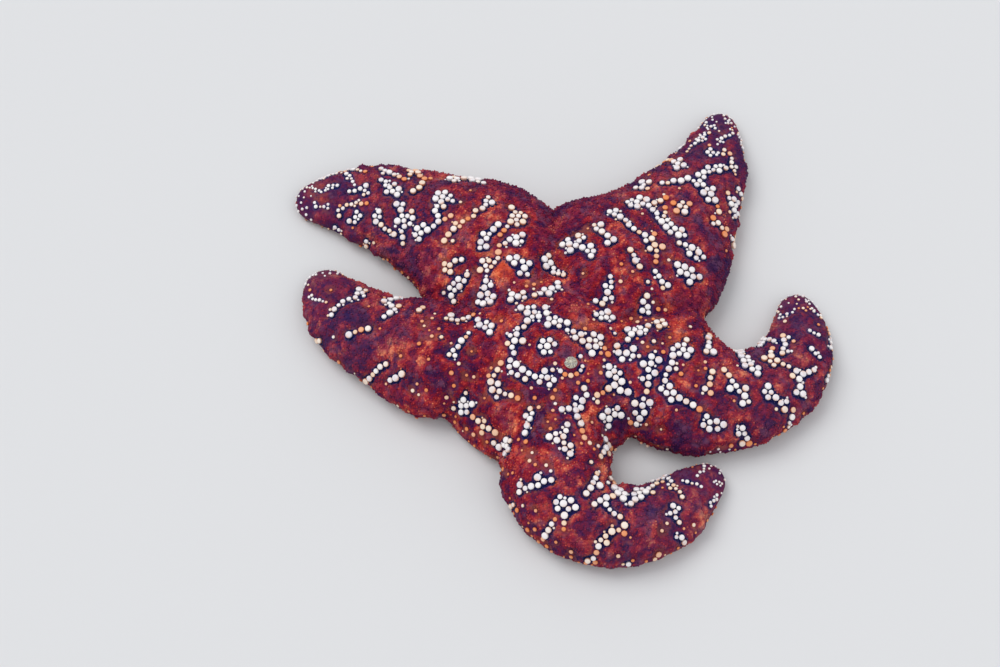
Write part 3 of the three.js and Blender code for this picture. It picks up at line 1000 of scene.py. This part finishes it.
def growTemplate(shape):
    # a circle is extruded and resized ring by ring, and closed in a point
    height, wide = shape["foot"], shape["stem"]
    thing = add("circle", "template", vertices=shape["sides"], radius=wide, fill_type="NGON",
                location=(0, 0, height))
    startEdit(thing, "FACE")
    for nextHeight, nextWide in shape["rings"]:
        bpy.ops.mesh.extrude_region_move(TRANSFORM_OT_translate={"value": (0, 0, nextHeight - height)})
        if nextWide > 0:
            share = nextWide / wide
            bpy.ops.transform.resize(value=(share, share, 1), center_override=(0, 0, nextHeight))
            wide = nextWide
        else:
            bpy.ops.mesh.merge(type="CENTER")
        height = nextHeight
    bpy.ops.mesh.select_all(action="SELECT")
    bpy.ops.mesh.normals_make_consistent(inside=False)
    endEdit()
    spots = placesOf(thing.data)
    faces = [tuple(face.vertices) for face in thing.data.polygons]
    remove(thing)
    return spots, faces


def flatPlaces(spots, faces):
    # a flat place for each corner: round the stem, out from the top, and one point for the foot
    low, high = spots[:, 2].min(), spots[:, 2].max()
    out = 0.12 + 0.38 * (high - spots[:, 2]) / (high - low)
    out = np.where(np.hypot(spots[:, 0], spots[:, 1]) < 1e-6, 0, out)
    angle = np.arctan2(spots[:, 1], spots[:, 0])
    flat = np.stack([out * np.cos(angle), out * np.sin(angle)], axis=1)
    isFoot = [max(spots[i, 2] for i in face) < low + 1e-9 for face in faces]
    corners = [[face[0]] * len(face) if foot else list(face) for face, foot in zip(faces, isFoot)]
    return flat[np.concatenate(corners)]


def framesAlong(axes):
    # three directions for each copy: two across and its own axis, turned at random
    axes = axes / np.linalg.norm(axes, axis=1, keepdims=True)
    helper = np.where(np.abs(axes[:, 2:3]) < 0.9, [[0, 0, 1]], [[1, 0, 0]])
    across = np.cross(helper, axes)
    across /= np.linalg.norm(across, axis=1, keepdims=True)
    other = np.cross(axes, across)
    spin = chance.uniform(0, 2 * math.pi, (len(axes), 1))
    return across * np.cos(spin) + other * np.sin(spin), other * np.cos(spin) - across * np.sin(spin), axes


def joinedCopies(name, shape, roots, axes, wide, tall, values):
    # one mesh of many copies, each with its own values and its small patch of the unwrap
    spots, faces = growTemplate(shape)
    count, each = len(roots), len(spots)
    scales = [np.broadcast_to(scale, count) for scale in (wide, wide, tall)]
    vertices = roots[:, None, :]
    for k, (way, scale) in enumerate(zip(framesAlong(axes), scales)):
        vertices = vertices + way[:, None, :] * (spots[None, :, k:k + 1] * scale[:, None, None] * mm)
    corners = np.concatenate([np.array(face) for face in faces])
    allCorners = (corners[None, :] + np.arange(count)[:, None] * each).ravel()
    allSizes = np.tile([len(face) for face in faces], count)
    mesh = bpy.data.meshes.new(name)
    mesh.vertices.add(count * each)
    mesh.vertices.foreach_set("co", vertices.ravel())
    mesh.loops.add(len(allCorners))
    mesh.loops.foreach_set("vertex_index", allCorners)
    mesh.polygons.add(len(allSizes))
    mesh.polygons.foreach_set("loop_start", np.concatenate([[0], np.cumsum(allSizes)[:-1]]))
    mesh.polygons.foreach_set("use_smooth", np.ones(len(allSizes), bool))
    mesh.update(calc_edges=True)
    mesh.validate()
    onUnwrap = np.array([unwrapSpots[unwrapFinder.find_nearest(root)[2]] for root in roots])
    flat = onUnwrap[:, None, :] + flatPlaces(spots, faces)[None, :, :] * unwrap["patch"]
    mesh.uv_layers.new(name="OFBake").data.foreach_set("uv", flat.ravel())
    setValues(mesh, {key: np.repeat(value, each) for key, value in values.items()})
    setValues(mesh, {"height": np.tile((spots[:, 2] - spots[:, 2].min()) / np.ptp(spots[:, 2]), count),
                     "aside": np.tile(spots[:, 0] / np.abs(spots[:, 0]).max(), count)})
    piece = bpy.data.objects.new(name, mesh)
    bpy.context.scene.collection.objects.link(piece)
    print(name + ":", count, "copies,", int((allSizes - 2).sum()), "triangles")
    return piece


# shader maths: a wire wraps a socket, and sums of wires and numbers add their nodes

class Wire:
    def __init__(self, paint, socket):
        self.paint, self.socket = paint, socket

    def maths(self, operation, first, second):
        return self.paint.node("ShaderNodeMath", {"operation": operation}, {0: first, 1: second})

    def __add__(self, other):
        return self.maths("ADD", self, other)

    def __sub__(self, other):
        return self.maths("SUBTRACT", self, other)

    def __rsub__(self, other):
        return self.maths("SUBTRACT", other, self)

    def __mul__(self, other):
        return self.maths("MULTIPLY", self, other)

    __radd__, __rmul__ = __add__, __mul__


def colour(code):
    parts = [int(code[i:i + 2], 16) / 255 for i in (0, 2, 4)]
    return tuple(c / 12.92 if c <= 0.04045 else ((c + 0.055) / 1.055) ** 2.4 for c in parts) + (1,)


class Paint:
    # the nodes of a new material or world; a value written as text is a colour's code
    def __init__(self, owner):
        owner.use_nodes = True
        self.owner, self.tree, self.places = owner, owner.node_tree, None
        self.tree.nodes.clear()

    def node(self, kind, settings, inputs, output=0):
        made = self.tree.nodes.new(kind)
        for key, value in settings.items():
            if key == "stops":
                ramp = made.color_ramp
                while len(ramp.elements) < len(value):
                    ramp.elements.new(0.5)
                for element, (place, code) in zip(ramp.elements, value):
                    element.position, element.color = place, colour(code)
            else:
                setattr(made, key, value)
        for key, value in inputs.items():
            if isinstance(value, Wire):
                self.tree.links.new(value.socket, made.inputs[key])
            else:
                made.inputs[key].default_value = colour(value) if isinstance(value, str) else value
        return Wire(self, made.outputs[output]) if made.outputs else None

    def where(self):
        self.places = self.places or self.node("ShaderNodeTexCoord", {}, {}, "Object")
        return self.places

    def noise(self, size, detail=2.0, roughness=0.5, distortion=0.0, seed=0):
        return self.node("ShaderNodeTexNoise", {"noise_dimensions": "4D"}, {
            "Vector": self.where(), "W": seed * 7.3, "Scale": 1 / (size * mm), "Detail": detail,
            "Roughness": roughness, "Distortion": distortion})

    def cells(self, size):
        inputs = {"Vector": self.where(), "Scale": 1 / (size * mm)}
        return self.node("ShaderNodeTexVoronoi", {}, inputs, "Distance")

    def attribute(self, name):
        return self.node("ShaderNodeAttribute", {"attribute_name": name}, {}, "Fac")

    def between(self, value, low, high, out=(0, 1)):
        # a smooth step of a wire, or of the attribute that is named
        value = self.attribute(value) if isinstance(value, str) else value
        inputs = {"Value": value, "From Min": low, "From Max": high, "To Min": out[0], "To Max": out[1]}
        return self.node("ShaderNodeMapRange", {"interpolation_type": "SMOOTHSTEP"}, inputs)

    def mix(self, share, first, second):
        return self.node("ShaderNodeMix", {"data_type": "RGBA"}, {0: share, 6: first, 7: second}, 2)

    def bump(self, height, strength, distance):
        inputs = {"Height": height, "Strength": strength, "Distance": distance * mm}
        return self.node("ShaderNodeBump", {}, inputs)

    def grain(self, size, detail, strength):
        return self.bump(self.noise(size, detail), strength, 0.1)

    def finish(self, inputs, *things):
        shader = self.node("ShaderNodeBsdfPrincipled", {}, inputs)
        self.node("ShaderNodeOutputMaterial", {}, {"Surface": shader})
        for thing in things:
            thing.data.materials.clear()
            thing.data.materials.append(self.owner)


def newPaint(name):
    return Paint(bpy.data.materials.new(name))


fleshStops = [(0.0, "320f3e"), (0.22, "54173f"), (0.4, "80152b"), (0.54, "9b202c"), (0.7, "b83c38"),
              (0.86, "d65e49"), (1.0, "ef8a63")]
tones = {"dusk": "40174a", "glow": "dc552e", "mauve": "7c4b64", "violet": "534468", "amber": "b9602f",
         "navy": "14184f", "slate": "454a78"}


def fleshColour(paint, shift):
    # the same markings on the skin and on everything soft that stands on it, from dusky purple to orange,
    # with painted shade in the valleys between the lumps
    between, mix, noise = paint.between, paint.mix, paint.noise
    warmth = noise(15, 3, 0.6, 0.3, 1) * 1.7 + noise(5.5, 5, 0.7, 0.6, 3) * 2.45
    warmth = warmth + noise(2.1, 3, 0.65, 0.5, 4) * 0.7 + paint.attribute("tone") * 0.2
    warmth = warmth + paint.attribute("flush") * 0.28 + shift - 1.985
    base = paint.node("ShaderNodeValToRGB", {"stops": fleshStops}, {"Fac": warmth})
    base = mix(between(noise(4.6, 4, 0.68, 0.4, 5), 0.5, 0.64) * 0.68, base, tones["mauve"])
    # painted shade: the valleys between the lumps are darkened towards dusk
    base = mix(between("lump", 0.0, 0.5, (0.45, 0)), base, tones["dusk"])
    glow = paint.attribute("flush") + noise(3.2, 4, 0.7, 0.5, 14) * 2.2 - 1.15
    base = mix(between(glow, 0.45, 1.5) * 0.6, base, tones["glow"])
    base = mix(paint.attribute("bare") * 0.35, base, tones["dusk"])
    # amber beside the spines, and violet, dusk and navy flecks towards the tips
    amber = between("puff", 0.15, 0.75, (0.55, 0)) * between(noise(5.5, 4, 0.62, 0.5, 17), 0.48, 0.6)
    base = mix(amber, base, tones["amber"])
    base = mix(between("reach", 0.25, 0.7, (0, 0.2)), base, tones["violet"])
    ends = between("reach", 0.58, 1.0) * between(noise(9, 3, seed=11), 0.35, 0.6)
    base = mix(ends * 0.7, base, tones["dusk"])
    flecks = between(noise(3.6, 3, 0.62, 0.5, 12), 0.55, 0.63) * between("reach", 0.25, 0.6, (0, 0.6))
    return mix(flecks, base, tones["navy"])


# the skin's finish: flesh with painted shade in the low skin round the spines, navy halos round the spines
# with painted highlights at their edges, and a tan belly
bellyTones = {"pale": "c08a63", "deep": "a65f45", "edge": "6f2c40"}


def skinColour(paint):
    between, mix, noise = paint.between, paint.mix, paint.noise
    flesh = fleshColour(paint, -0.07)
    # painted shade: the low skin round the spines is darkened towards dusk
    flesh = mix(between("puff", 0.0, 0.6, (0.4, 0)), flesh, tones["dusk"])
    halo = paint.attribute("wreath") + noise(1.5, 3, 0.65, 0.5, 9) * 1.1 - 0.55
    # painted highlight: patchy slate at the outer edge of each navy halo
    flesh = mix(between(halo, 0.25, 0.5) * noise(3, 2, seed=10) * 0.7, flesh, tones["slate"])
    patchy = between(noise(6, 3, seed=15), 0.36, 0.54, (0.5, 1))
    flesh = mix(between(halo, 0.5, 0.76) * patchy, flesh, tones["navy"])
    belly = mix(between(noise(5, 3), 0.4, 0.65), bellyTones["pale"], bellyTones["deep"])
    belly = mix(between("rim", 0.0, 1.0, (0, 0.75)), belly, bellyTones["edge"])
    return mix(paint.attribute("under"), flesh, belly)


paint = newPaint("skinFinish")
paint.finish({
    "Base Color": skinColour(paint),
    "Roughness": paint.between(paint.noise(4), 0.3, 0.7, (0.5, 0.68)),
    "Normal": paint.bump(paint.cells(0.9) * 0.6 + paint.noise(0.7, 2) * 0.4, 0.5, 0.35),
    "Specular IOR Level": 0.06,
}, skin)
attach(skin, "root")
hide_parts(*fleshNodes)

# blunt spines on the back; orange ones are lower, with a ring round the top; their lower sides carry painted
# shade, and one side of each a painted glow
knobShape = {"sides": 9, "stem": 0.66, "foot": -0.9, "lean": 0.25, "tall": 1.15, "tallOrange": 0.85,
             "rings": [(0.3, 0.9), (0.66, 1.0), (0.87, 0.91), (0.97, 0.64), (1.0, 0)]}
# the foot tones are painted shade on the spines' lower sides, and the peach tone is a painted glow on one
# side of each spine
boneTones = {"white": ("faf5f2", "ece8ee"), "warm": ("f8e2c6", "ec8c4e"), "paintedSideGlow": "efb58e", "top": "dcb79f",
             "foot": "8d89a8", "footShadeWarm": ("cf7a4d", "b04a30"), "ring": ("e59a63", "c04a24")}
spines = joinedCopies("spines", knobShape, roots, normals[rootIndex] + [0, 0, knobShape["lean"]], rootSize,
                      np.where(tint > 0.5, knobShape["tallOrange"], knobShape["tall"]) * rootSize,
                      {"tint": tint, "reach": reach[rootIndex], "each": chance.random(len(roots))})


def boneColour(paint):
    between, mix = paint.between, paint.mix
    each, tinted = paint.attribute("each"), paint.attribute("tint")
    warm = mix(between(tinted, 0.45, 0.9), *boneTones["warm"])
    bone = mix(between(tinted, 0.15, 0.6), mix(each, *boneTones["white"]), warm)
    # painted shade: grey-violet, and warm brown on orange spines, for the shaded lower sides
    foot = mix(between(tinted, 0.05, 0.35), boneTones["foot"], mix(tinted, *boneTones["footShadeWarm"]))
    # painted light: a peach glow on one side of each spine, turned at random, as if light from the flesh
    # shone through it
    paintedSideGlow = between("aside", 0.1, 1.0) * between(each, 0.25, 0.85, (0.1, 0.7))
    bone = mix(paintedSideGlow, bone, boneTones["paintedSideGlow"])
    ringed = between("height", 0.84, 0.985, (0.85, 0)) * between(tinted, 0.1, 0.5)
    bone = mix(ringed, bone, mix(tinted, *boneTones["ring"]))
    # the painted shade is laid over the lower half of each spine
    bone = mix(between("height", 0.35, 0.78, (0.85, 0)), bone, foot)
    return mix(between("height", 0.97, 1.0) * between(each, 0.3, 0.9) * 0.3, bone, boneTones["top"])


paint = newPaint("spineFinish")
paint.finish({
    "Base Color": boneColour(paint), "Roughness": 0.62, "Coat Weight": 0.08, "Coat Roughness": 0.4,
    "Normal": paint.grain(0.35, 3, 0.25),
}, spines)
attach(spines, "root")
print("spines finished")

# papulae, the soft gills that make the cushions velvety
papulae = {"samples": 110000, "spacing": 0.84, "radius": (0.28, 0.44), "tall": (0.26, 0.55), "sides": 5,
           "stem": 1, "foot": -0.4, "rings": [(0.6, 0.95), (1.0, 0)], "wreathBelow": 0.3, "puffAbove": 0.25,
           "lowest": 3, "plateGap": 0.3, "shortTips": 0.4, "slimTips": 0.35}
places, ways, corner = samplesOver(papulae["samples"])
soft = (marks["wreath"][corner] < papulae["wreathBelow"]) & (marks["puff"][corner] > papulae["puffAbove"])
soft &= places[:, 2] > papulae["lowest"] * mm
soft &= flatAway(places, plateMiddle) > sieve["radius"] + papulae["plateGap"]
places, ways, corner = keep(soft, places, ways, corner)
places, ways, corner = keep(thinned(places, papulae["spacing"]), places, ways, corner)
atTip = easeBetween(0.6, 1, reach[corner])
size = chance.uniform(*papulae["radius"], len(places)) * (1 - papulae["slimTips"] * atTip)
tall = chance.uniform(*papulae["tall"], len(places)) * (1 - papulae["shortTips"] * atTip)
tall *= 0.55 + 0.45 * easeBetween(-0.1, 0.5, ways[:, 2])
leftSide = places[:, 0] < middle.x
gills = []
for name, half in (("papulaeLeft", leftSide), ("papulaeRight", ~leftSide)):
    values = {key: marks[key][corner][half] for key in ("reach", "puff", "tone", "lump", "flush", "bare")}
    values["each"] = chance.random(half.sum())
    gills.append(joinedCopies(name, papulae, *keep(half, places, ways, size, tall), values))
    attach(gills[-1], "root")
paint = newPaint("papulaFinish")
flesh = fleshColour(paint, paint.attribute("each") * 0.22 - 0.06)
paint.finish({
    # painted shade: papulae in the low skin round the spines are darkened towards dusk
    "Base Color": paint.mix(paint.between("puff", 0.0, 0.6, (0.3, 0)), flesh, tones["dusk"]),
    "Roughness": 0.6, "Specular IOR Level": 0.06,
}, *gills)

# wreaths of tiny pincers round the pale spines
wreaths = {"round": 8, "gap": 0.42, "jitter": 0.15, "outward": 0.25, "clear": 0.1, "near": 1.7,
           "paleBelow": 0.5, "leastSpine": 0.75, "radius": (0.2, 0.34), "tall": (0.3, 0.55), "sides": 5,
           "stem": 0.8, "foot": -0.3, "rings": [(0.6, 1.0), (1.0, 0)], "tint": "4b4468"}
pale = (tint < wreaths["paleBelow"]) & (rootSize > wreaths["leastSpine"])
knobTree = treeOf(roots)
spots, ways = [], []
for root, normal, size in zip(*keep(pale, roots, normals[rootIndex], rootSize)):
    sides = sidesOf(Vector(normal))
    start = chance.uniform(0, 2 * math.pi)
    for i in range(wreaths["round"]):
        angle = start + 2 * math.pi * i / wreaths["round"] + chance.normal() * wreaths["jitter"]
        away = (size + wreaths["gap"] + abs(chance.normal()) * wreaths["outward"]) * mm
        place, way, _, _ = skinFinder.find_nearest(Vector(root) + spoke(sides, angle) * away)
        if all(distance / mm > rootSize[j] + wreaths["clear"]
               for _, j, distance in knobTree.find_range(place, wreaths["near"] * mm)):
            spots.append(place)
            ways.append(way)
spots, ways = np.array(spots), np.array(ways)
pincers = joinedCopies("pincers", wreaths, spots, ways, chance.uniform(*wreaths["radius"], len(spots)),
                       chance.uniform(*wreaths["tall"], len(spots)), {"each": chance.random(len(spots))})
paint = newPaint("pincerFinish")
paint.finish({
    "Base Color": paint.mix(paint.between("each", 0.55, 1.0, (0, 0.6)), tones["navy"], wreaths["tint"]),
    "Roughness": 0.5, "Specular IOR Level": 0.3,
}, pincers)
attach(pincers, "root")


def pressIn(thing, name, values, depth):
    # grooves or folds, whose depth stays on the piece for its finish
    pressBy(thing, -depth, values)
    setValues(thing.data, {name: values})
    smoothShaded(thing)


# the sieve plate, with winding grooves out from its middle
# the groove tone is painted shade in the plate's grooves
plateTones = {"pale": "d3cbb6", "grey": "abacaa", "groove": "7c6b54"}
plateTop = dropTo(skinFinder, plateMiddle.x, plateMiddle.y).z
plateCentre = (plateMiddle.x, plateMiddle.y, plateTop)
plate = add("uv_sphere", "sievePlate", segments=72, ring_count=24,
            radius=sieve["radius"] * sieve["domeShare"] * mm, location=plateCentre)
squash(plate, sieve["flatness"], plateCentre)
flattenBelow(plate, plateTop - sieve["foot"] * mm, threshold=1e-7)
spots = placesOf(plate.data)
angle, out = bearings(spots, plateMiddle), flatAway(spots, plateMiddle) / sieve["radius"]
wave = np.cos(0.5 * sieve["grooves"] * angle + 2.2 * np.sin(5 * out + 3 * np.sin(2 * angle)))
deep = easeBetween(-0.1, 0.7, wave) * easeBetween(0.12, 0.3, out) * (spots[:, 2] > plateTop)
pressIn(plate, "deep", deep, sieve["grooveDepth"])
paint = newPaint("plateFinish")
stone = paint.mix(paint.between(paint.noise(1.2, 3), 0.4, 0.6), plateTones["pale"], plateTones["grey"])
paint.finish({
    # painted shade: the grooves are darkened by their depth
    "Base Color": paint.mix(paint.attribute("deep") * 0.6, stone, plateTones["groove"]),
    "Roughness": 0.75, "Specular IOR Level": 0.3, "Normal": paint.grain(0.25, 3, 0.4),
}, plate)
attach(plate, "root")
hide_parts("madreporite")

# a red eyespot at each arm's end: one bead ringed by others
eyespots = {"circles": [(0, 1, 0.25), (0.42, 6, 0.1)], "bead": 0.24, "sides": 8, "stem": 0.8, "foot": -1.0,
            "rings": [(0.2, 1.0), (0.7, 0.75), (0.95, 0.35), (1.0, 0)], "tones": ("5c0f12", "a8231a")}
spots, ways = [], []
for key in arms:
    low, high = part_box("arm_" + key + "_eyespot")
    place, way, _, _ = skinFinder.find_nearest((low + high) / 2)
    for radius, count, lift in eyespots["circles"]:
        for i in range(count):
            spots.append(place + spoke(sidesOf(way), 2 * math.pi * i / count) * radius * mm + way * lift * mm)
            ways.append(way)
bead = eyespots["bead"]
eyes = joinedCopies("eyespots", eyespots, np.array(spots), np.array(ways), bead, bead, {})
paint = newPaint("eyeFinish")
paint.finish({"Base Color": paint.mix(paint.attribute("height"), *eyespots["tones"]),
              "Roughness": 0.25, "Coat Weight": 0.5, "Coat Roughness": 0.1}, eyes)
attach(eyes, "root")
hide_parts(*["arm_" + key + "_eyespot" for key in arms])
print("plate and eyespots finished")

# the mouth's folded membrane
# the fold tone is painted shade in the membrane's folds
mouth = {"lip": 3.0, "thickness": 1.5, "height": 4.2, "flatness": 0.6, "folds": 15, "foldDepth": 0.35,
         "tones": ("c98a68", "a85e48"), "foldShade": "7d3a30"}
mouthMiddle = (middle.x, middle.y, mouth["height"] * mm)
membrane = add("torus", "mouthMembrane", major_radius=mouth["lip"] * mm, minor_radius=mouth["thickness"] * mm,
               major_segments=90, minor_segments=20, location=mouthMiddle)
squash(membrane, mouth["flatness"], mouthMiddle)
folds = 0.5 + 0.5 * np.cos(mouth["folds"] * bearings(placesOf(membrane.data), middle))
pressIn(membrane, "folds", folds, mouth["foldDepth"])
paint = newPaint("membraneFinish")
lips = paint.mix(paint.noise(1.5, 2), *mouth["tones"])
paint.finish({
    # painted shade: the folds are darkened by their depth
    "Base Color": paint.mix(paint.attribute("folds") * 0.5, lips, mouth["foldShade"]), "Roughness": 0.45,
    "Coat Weight": 0.3, "Coat Roughness": 0.2, "Normal": paint.grain(0.3, 2, 0.3),
}, membrane)
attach(membrane, "root")
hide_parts("mouth_membrane")

# tube feet in rows within the grooves, each with a sucker at its end
feet = {"first": 9, "last": 0.965, "step": 2.1, "rows": (-2.5, -0.9, 0.9, 2.5), "radius": 0.62, "clear": 0.2,
        "sides": 8, "stem": 0.85, "foot": -0.04, "lowest": 1.8, "splay": 0.12,
        "rings": [(0.3, 0.7), (0.75, 0.58), (0.86, 0.95), (0.95, 1.0), (1.0, 0.7), (0.97, 0)],
        "tones": ("d8b184", "c48f62"), "sucker": "ecd6ad"}
underReach = 12 * mm


def riseTo(x, y):
    return skinFinder.ray_cast((x, y, 0), (0, 0, 1), underReach)[0]


def underPlaces(step, rows, first, last):
    # places on the skin's underside, in rows along each arm, with every other row half a step on
    spots, scales, sideways = [], [], []
    for arm in arms.values():
        along = first
        while along < last * arm["length"]:
            share = along / arm["length"]
            scale = grooveScale(share)
            for i, offset in enumerate(rows(scale)):
                shift = 0.5 * step * (i % 2) + chance.normal() * 0.12 * step
                here = share + shift / arm["length"]
                x, y, heading = besidePath(arm, here, offset + chance.normal() * 0.12)
                hit = riseTo(x, y)
                if hit:
                    spots.append(hit)
                    scales.append(scale)
                    inward = 1 if offset < 0 else -1
                    sideways.append((-math.sin(heading) * inward, math.cos(heading) * inward, 0))
            along += step * (0.55 + 0.45 * scale)
    return np.array(spots), np.array(scales), np.array(sideways)


def downward(spots, sideways, lean, jitter):
    return np.array([[0, 0, -1]]) + sideways * lean + chance.normal(size=spots.shape) * [jitter, jitter, 0]


def feetRows(scale):
    return [row * scale for row in feet["rows"]]


found = underPlaces(feet["step"], feetRows, feet["first"], feet["last"])
spots, scales, sideways = keep(found[0][:, 2] > feet["lowest"] * mm, *found)
ways = downward(spots, sideways, -feet["splay"], 0.1)
tubeFeet = joinedCopies("tubeFeet", feet, spots, ways, feet["radius"] * (0.35 + 0.65 * scales),
                        spots[:, 2] / mm - feet["clear"] - 0.3 * chance.random(len(spots)),
                        {"each": chance.random(len(spots))})
paint = newPaint("tubeFootFinish")
stem = paint.mix(paint.attribute("each"), *feet["tones"])
paint.finish({
    "Base Color": paint.mix(paint.between("height", 0.8, 0.95), stem, feet["sucker"]), "Roughness": 0.4,
    "Coat Weight": 0.3, "Coat Roughness": 0.2, "Normal": paint.grain(0.3, 2, 0.3),
}, tubeFeet)
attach(tubeFeet, "root")

# spines beneath: in rows along the grooves' edges, scattered over the belly, and five sets at the mouth
edges = {"step": 1.9, "rows": (0.9, 2.1), "last": 0.955, "radius": 0.5, "highest": 2.6, "lean": 0.35,
         "sides": 6, "stem": 1, "foot": -0.2, "rings": [(0.6, 0.9), (0.95, 0.55), (1.03, 0)],
         "tones": ("e6cfae", "d09a6e"), "rim": "9c5a4e", "base": "a5614a"}
belly = {"samples": 60000, "spacing": 2.3, "radius": (0.5, 0.8), "clearOfGroove": 3.0, "clearOfMouth": 3.5}
jaws = {"each": 5, "length": 3.6, "radius": 0.55, "spread": 0.34, "out": 0.4, "droop": -0.12}


def bellyPlaces():
    places, ways, corner = samplesOver(belly["samples"])
    flat = (ways[:, 2] < -0.8) & (places[:, 2] < 2.4 * mm)
    flat &= fromMiddle[corner] > groove["mouthRadius"] + belly["clearOfMouth"]
    flat &= np.abs(side[corner]) > groove["halfWidth"] * grooveScale(reach[corner]) + belly["clearOfGroove"]
    places, corner = keep(flat, places, corner)
    return keep(thinned(places, belly["spacing"]), places, corner)


def jawPlaces():
    spots, ways = [], []
    for pair in ("ab", "bc", "cd", "de", "ea"):
        x, y = betweenArms(pair, 0.3)
        for i in range(jaws["each"]):
            at = math.atan2(y, x) + (i - (jaws["each"] - 1) / 2) * jaws["spread"] / 2
            spots.append(riseTo(*roundAbout(middle, at, groove["mouthRadius"] + jaws["out"])))
            ways.append((-math.cos(at), -math.sin(at), jaws["droop"]))
    return np.array(spots), np.array(ways)


def edgeRows(scale):
    return [sign * (groove["halfWidth"] * scale + out) for out in edges["rows"] for sign in (-1, 1)]


found = underPlaces(edges["step"], edgeRows, groove["mouthRadius"] + 3, edges["last"])
spots, scales, sideways = keep(found[0][:, 2] < edges["highest"] * mm, *found)
ways = downward(spots, sideways, edges["lean"], 0.12)
places, corner = bellyPlaces()
jawSpots, jawWays = jawPlaces()
count = len(jawSpots)
bellyWays = downward(places, np.zeros(places.shape), 0, 0.1)
bellyWide = chance.uniform(*belly["radius"], len(places))
wide = [edges["radius"] * (0.5 + 0.5 * scales), bellyWide, np.full(count, jaws["radius"])]
tall = [spots[:, 2] / mm - 0.15, places[:, 2] / mm - 0.12, np.full(count, jaws["length"])]
rim = [np.zeros(len(spots)), marks["rim"][corner], np.zeros(count)]
allSpots = np.concatenate([spots, places, jawSpots])
underSpines = joinedCopies("underSpines", edges, allSpots, np.concatenate([ways, bellyWays, jawWays]),
                           np.concatenate(wide), np.concatenate(tall),
                           {"each": chance.random(len(allSpots)), "rim": np.concatenate(rim)})
paint = newPaint("underSpineFinish")
bone = paint.mix(paint.attribute("each"), *edges["tones"])
bone = paint.mix(paint.attribute("rim") * 0.6, bone, edges["rim"])
paint.finish({
    "Base Color": paint.mix(paint.between("height", 0.0, 0.6, (0.6, 0)), bone, edges["base"]),
    "Roughness": 0.6, "Normal": paint.grain(0.3, 3, 0.25),
}, underSpines)
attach(underSpines, "root")
print("underside finished")

# camera and floor
view = {"lens": 85, "sensor": 36, "aim": (-15.61, 15.13, 0), "back": 387.96, "up": 729.66, "clip": (0.01, 20)}
aim = middle + Vector(view["aim"]) * mm
deselectAll()
bpy.ops.object.camera_add(location=aim + Vector((0, -view["back"], view["up"])) * mm)
camera = bpy.context.active_object
camera.data.lens, camera.data.sensor_width = view["lens"], view["sensor"]
camera.data.clip_start, camera.data.clip_end = view["clip"]
camera.rotation_euler = (aim - camera.location).to_track_quat("-Z", "Y").to_euler()
bpy.context.scene.camera = camera

floor = add("plane", "floor", size=6)
newPaint("floorFinish").finish({"Base Color": "dcdcdc", "Roughness": 0.9}, floor)

# two broad soft lamps far off, so that the floor is lit evenly
lamps = {"key": {"from": (-0.5, 0.35, 0.9), "strength": 1.15, "angle": 40},
         "fill": {"from": (0.7, -0.5, 0.8), "strength": 0.37, "angle": 60}}
for name, lamp in lamps.items():
    deselectAll()
    bpy.ops.object.light_add(type="SUN", location=lamp["from"])
    sun = bpy.context.active_object
    sun.name = name
    sun.data.energy = lamp["strength"]
    sun.data.angle = math.radians(lamp["angle"])
    sun.rotation_euler = Vector(lamp["from"]).to_track_quat("Z", "Y").to_euler()

# the world lights the room softly, and what is seen of it has the floor's own colour
studio = {"light": (0.86, 0.88, 0.92, 1), "strength": 0.76, "seen": (0.753, 0.765, 0.783, 1)}
sky = Paint(bpy.data.worlds.new("studio"))
seen, shiny, through = (sky.node("ShaderNodeLightPath", {}, {}, "Is " + kind + " Ray")
                        for kind in ("Camera", "Glossy", "Transmission"))
either = seen.maths("MAXIMUM", seen.maths("MAXIMUM", seen, shiny), through)
light = sky.node("ShaderNodeBackground", {}, {"Color": studio["light"], "Strength": studio["strength"]})
backdrop = sky.node("ShaderNodeBackground", {}, {"Color": studio["seen"]})
blend = sky.node("ShaderNodeMixShader", {}, {0: either, 1: light, 2: backdrop})
sky.node("ShaderNodeOutputWorld", {}, {"Surface": blend})
bpy.context.scene.world = sky.owner
bpy.context.scene.view_settings.view_transform = "Standard"
